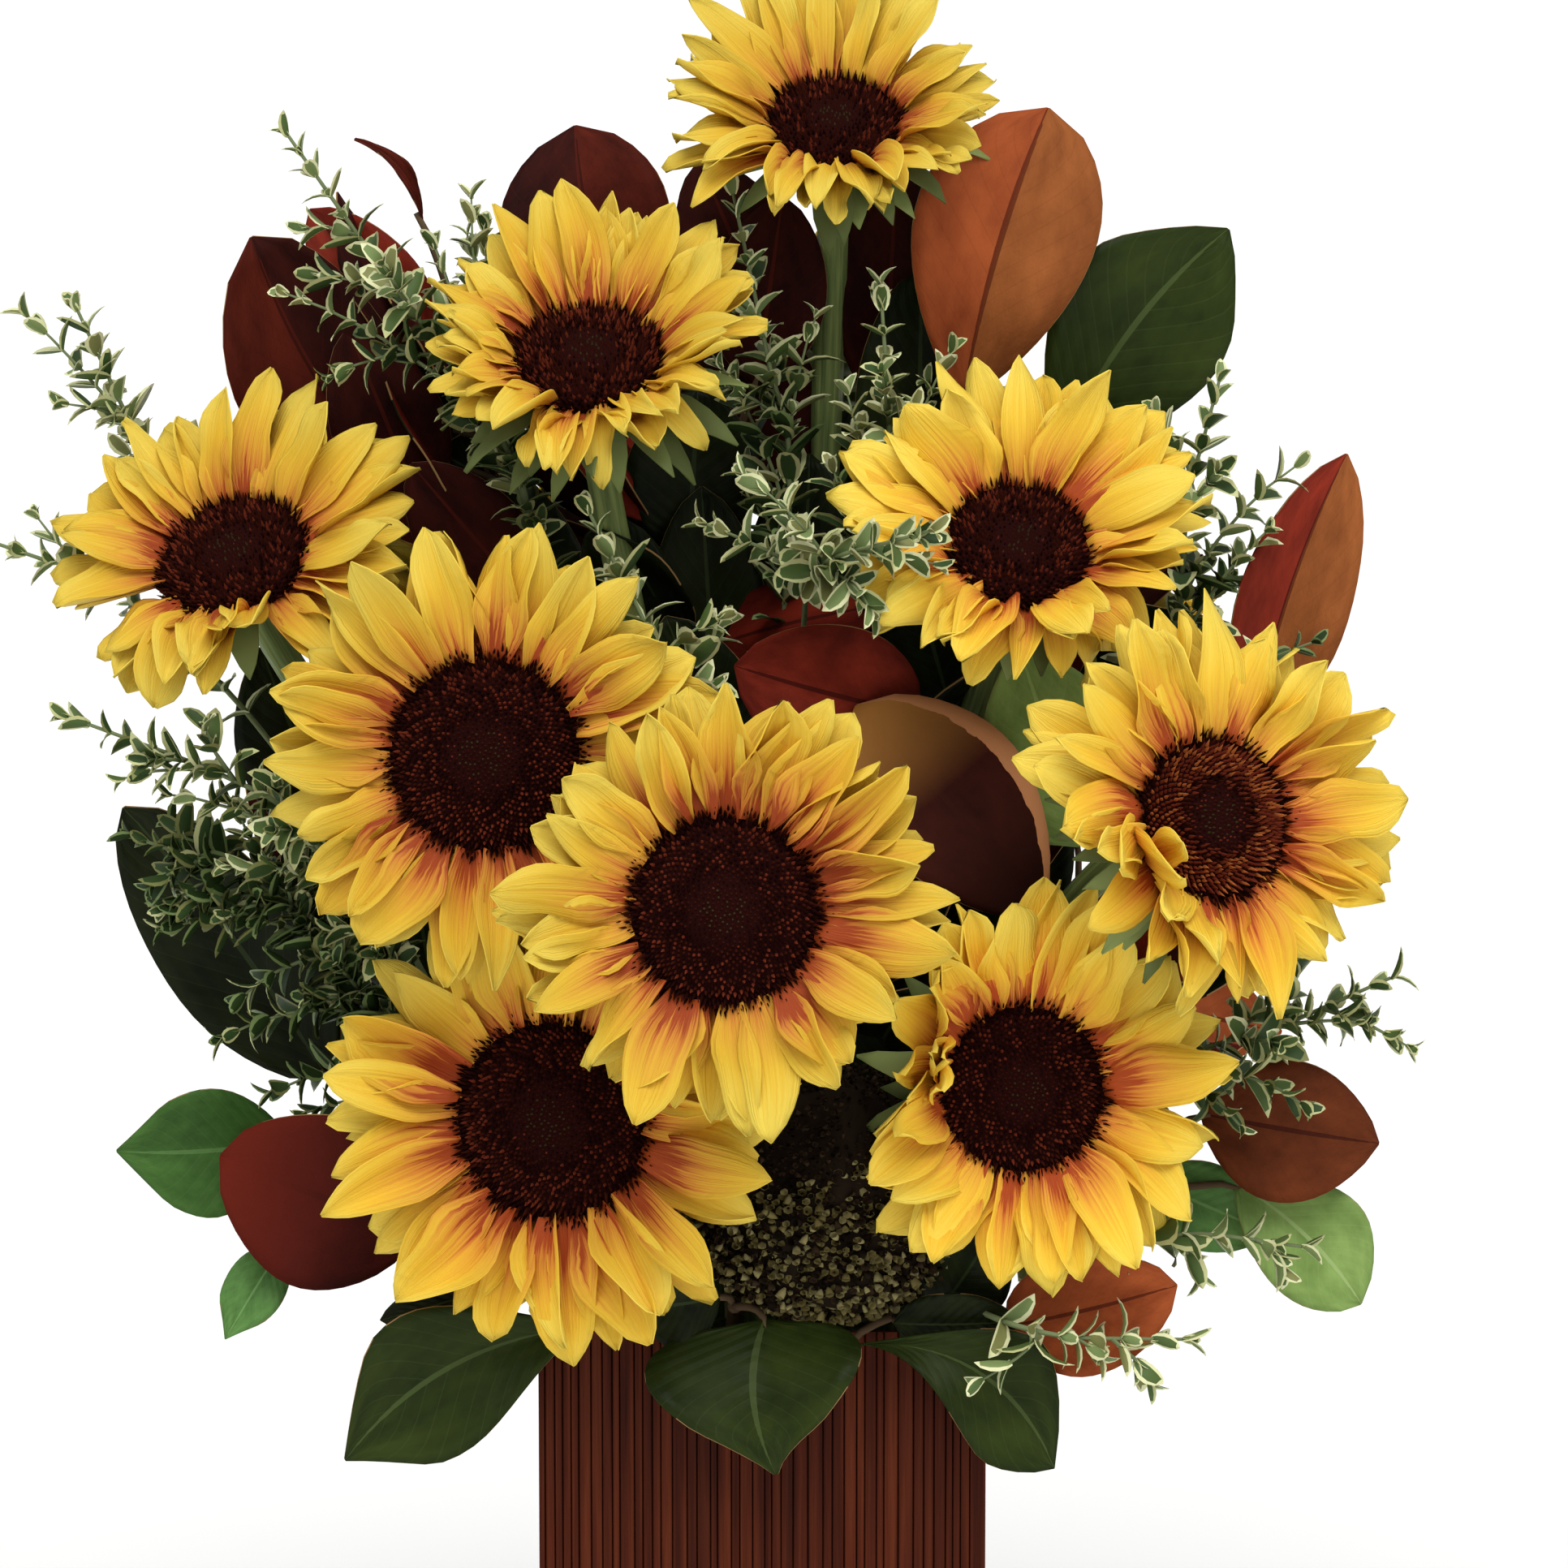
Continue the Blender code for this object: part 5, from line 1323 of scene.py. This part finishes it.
# leaves deep in the crown get dark pairs: painted shade
boxPaintedShadeDrop = 54  # leaves this far below a sprig's top are mostly dark


def makeBox(twigs):
    rng = random.Random(11)
    kinds = [finish for pair in boxShades for finish in pair]
    templates = [boxLeafMesh(0.12, 0.25), boxLeafMesh(0.3, 0.15), boxLeafMesh(-0.1, 0.35)]
    for seed, (name, sprig) in enumerate(sprigs.items()):
        places, tone = makeSprig(sprig, seed, twigs), sprig[-1]
        top = max(place.translation.z for place in places)
        bm = bmesh.new()
        for number, template in enumerate(templates):
            own = places[number :: len(templates)]
            shades = []
            for place in own:
                # leaves low in a sprig take dark pairs most of the time: painted shade inside the crown
                inside = tone != "sparse" and place.translation.z < top - boxPaintedShadeDrop * mm
                pairs = (2, 4, 6) if inside and rng.random() < 0.7 else boxTones[tone][0]
                shades.append(2 * rng.choice(pairs))
            part = joinedCopies("part", template, own, shades)
            bm.from_mesh(part)
            bpy.data.meshes.remove(part)
        addPiece("box_leaves_" + name, bm, kinds, ["box_" + name])
    for template in templates:
        template.free()


def addTwigs(kind, bm, names):
    addPiece(kind + "_twigs", bm, ["twigGreen", "twigBrown"], [kind + "_" + name for name in names])


# dried florets: a dark bumpy core with small open cups all over, smaller and painted dark brown above,
# painted shade under the heads
clump = {
    "place": (19, -64, 241),
    "half": (38, 25, 34),
    "foot": (18, -44),
    "cups": 4200,
    "cup": (1.7, 3.4),
    "upperCup": (1.3, 2.1),
    "lift": (0.98, 1.12),
    "paintedShadeAbove": 0.25,
    "paintedShadeSpread": 0.3,
    "aside": 0.8,
}


def cupMesh():
    bm = bmesh.new()
    bmesh.ops.create_cone(bm, cap_ends=False, segments=6, radius1=0.14, radius2=0.46, depth=0.8)
    upright = [e for e in bm.edges if abs(e.verts[0].co.z - e.verts[1].co.z) > 0.3]
    bmesh.ops.subdivide_edges(bm, edges=upright, cuts=1)
    for vert in bm.verts:
        if abs(vert.co.z) < 0.1:
            vert.co.xy *= 1.35
        elif vert.co.z > 0.2:
            vert.co.z += 0.1 * math.cos(3 * math.atan2(vert.co.y, vert.co.x))
    for face in bm.faces:
        face.smooth = True
    bm.verts.index_update()
    return bm


def makeClump():
    rng = random.Random(21)
    bm = bmesh.new()
    bmesh.ops.create_icosphere(bm, subdivisions=4, radius=1)
    half, middle = Vector(clump["half"]) * mm, millimetres(clump["place"])
    for vert in bm.verts:
        bump = 1 + 0.16 * noise.noise(vert.co * 3.1) + 0.07 * noise.noise(vert.co * 9)
        vert.co = Vector((vert.co.x * half.x, vert.co.y * half.y, vert.co.z * half.z)) * bump + middle
    foot = Vector((*clump["foot"], vase["fillTop"])) * mm
    addTube(bm, [foot, foot + up * 8 * mm, middle], [3 * mm, 3 * mm, 2.4 * mm], 8)
    addPiece("dried_core", bm, ["driedDark"], ["dried_clump"])
    places, shades = [], []
    for k in range(clump["cups"]):
        z = 1 - 2 * (k + 0.5) / clump["cups"]
        turn = k * goldenTurn
        flat = math.sqrt(1 - z * z)
        unit = Vector((flat * math.cos(turn), flat * math.sin(turn), z))
        point = Vector((unit.x * half.x, unit.y * half.y, unit.z * half.z))
        point = point * rng.uniform(*clump["lift"]) + middle
        # cups above a wavy line are smaller and painted dark: painted shade under the heads
        inPaintedShade = unit.z > clump["paintedShadeAbove"] + clump["paintedShadeSpread"] * noise.noise(unit * 3)
        aside = Vector(rng.uniform(-clump["aside"], clump["aside"]) for _ in range(3))
        out = Vector((unit.x / half.x, unit.y / half.y, unit.z / half.z)).normalized()
        size = rng.uniform(*clump["upperCup" if inPaintedShade else "cup"]) * mm
        turned = (out + aside).normalized().to_track_quat("Z", "Y").to_matrix().to_4x4()
        squash = Matrix.Diagonal((size, size * rng.uniform(0.6, 1), size * rng.uniform(0.7, 1.3), 1))
        places.append(Matrix.Translation(point) @ turned @ squash)
        shades.append(rng.choice((0, 1, 1)) if inPaintedShade else rng.choice((0, 1, 2, 2, 3, 3)))
    template = cupMesh()
    mesh = joinedCopies("dried_cups", template, places, shades)
    template.free()
    kinds = ["driedDark", "driedBrown", "driedOlive", "driedPale"]
    addPiece("dried_cups", mesh, kinds, ["dried_clump"])


# vase: uneven upright slats round a plain liner, and moss over the filling
slatForm = {
    "narrow": 1.9,
    "wide": 4.4,
    "thick": 2.8,
    "gap": 0.3,
    "bevel": 0.45,
    "inset": 0.5,
    "linerTop": 198.5,
    "linerFloor": 8,
}


def makeSlats():
    rng = random.Random(31)
    bm = bmesh.new()
    side, height = vase["side"], vase["height"]
    for quarter in range(4):
        reach = side / 2 if quarter % 2 == 0 else side / 2 - slatForm["thick"]
        x = -reach
        while x < reach - 0.5:
            width = min(rng.uniform(slatForm["narrow"], slatForm["wide"]), reach - x)
            if reach - x - width < slatForm["narrow"]:
                width = reach - x
            inset = rng.uniform(0, slatForm["inset"])
            made = bmesh.ops.create_cube(bm, size=1)["verts"]
            size = ((width - slatForm["gap"]) * mm, slatForm["thick"] * mm, height * mm)
            bmesh.ops.scale(bm, vec=size, verts=made)
            middle = Vector((x + width / 2, -side / 2 + slatForm["thick"] / 2 + inset, height / 2)) * mm
            bmesh.ops.translate(bm, vec=middle, verts=made)
            quarterTurn = Matrix.Rotation(quarter * math.pi / 2, 3, "Z")
            bmesh.ops.rotate(bm, cent=(0, 0, 0), matrix=quarterTurn, verts=made)
            x += width
    upright = [e for e in bm.edges if abs(e.verts[0].co.z - e.verts[1].co.z) > 0.1]
    width = slatForm["bevel"] * mm
    bmesh.ops.bevel(bm, geom=upright, offset=width, segments=2, profile=0.5, affect="EDGES", material=-1)
    addPiece("slats", bm, ["darkSlat"], ["vase"], smooth=False)
    liner = bmesh.new()
    bmesh.ops.create_cube(liner, size=1)
    outer = (side - 2 * slatForm["thick"]) * mm
    bmesh.ops.scale(liner, vec=(outer, outer, slatForm["linerTop"] * mm), verts=liner.verts)
    bmesh.ops.translate(liner, vec=(0, 0, slatForm["linerTop"] / 2 * mm), verts=liner.verts)
    top = [f for f in liner.faces if f.normal.z > 0.9]
    bmesh.ops.inset_region(liner, faces=top, thickness=(vase["wall"] - slatForm["thick"]) * mm)
    inner = bmesh.ops.extrude_face_region(liner, geom=top)["geom"]
    bmesh.ops.delete(liner, geom=top, context="FACES_ONLY")
    floorVerts = [g for g in inner if isinstance(g, bmesh.types.BMVert)]
    depth = slatForm["linerTop"] - slatForm["linerFloor"]
    bmesh.ops.translate(liner, vec=(0, 0, -depth * mm), verts=floorVerts)
    bmesh.ops.recalc_face_normals(liner, faces=liner.faces)
    addPiece("liner", liner, ["darkSlat"], ["vase"], smooth=False)


def makeMoss():
    bm = bmesh.new()
    half = vase["side"] / 2 - vase["wall"] - 0.4
    bmesh.ops.create_grid(bm, x_segments=70, y_segments=70, size=half * mm)
    for vert in bm.verts:
        edge = 1 - max(abs(vert.co.x), abs(vert.co.y)) / (half * mm)
        height = 2.5 + 5 * noise.noise(vert.co * 60) + 2.5 * noise.noise(vert.co * 190)
        vert.co.z = (vase["fillTop"] + (max(0.3, height + 1.5) if edge > 0.01 else -14)) * mm
    addPiece("moss", bm, ["moss"], ["filling"])


makeFinishes()
setStudio()
print("studio and finishes ready")
for number, (name, head) in enumerate(heads.items()):
    makeRays(name, head, number)
    makeDisc(name, head, number)
makeBracts()
makeStems()
print("sunflowers ready")
twigMesh = bmesh.new()
for number, (name, branch) in enumerate(branches.items()):
    makeMagnolia(name, branch, number, twigMesh)
addTwigs("magnolia", twigMesh, branches)
print("magnolia ready")
twigMesh = bmesh.new()
makeBox(twigMesh)
addTwigs("box", twigMesh, sprigs)
print("box ready")
makeClump()
makeSlats()
makeMoss()
print("dried florets, vase and moss ready")
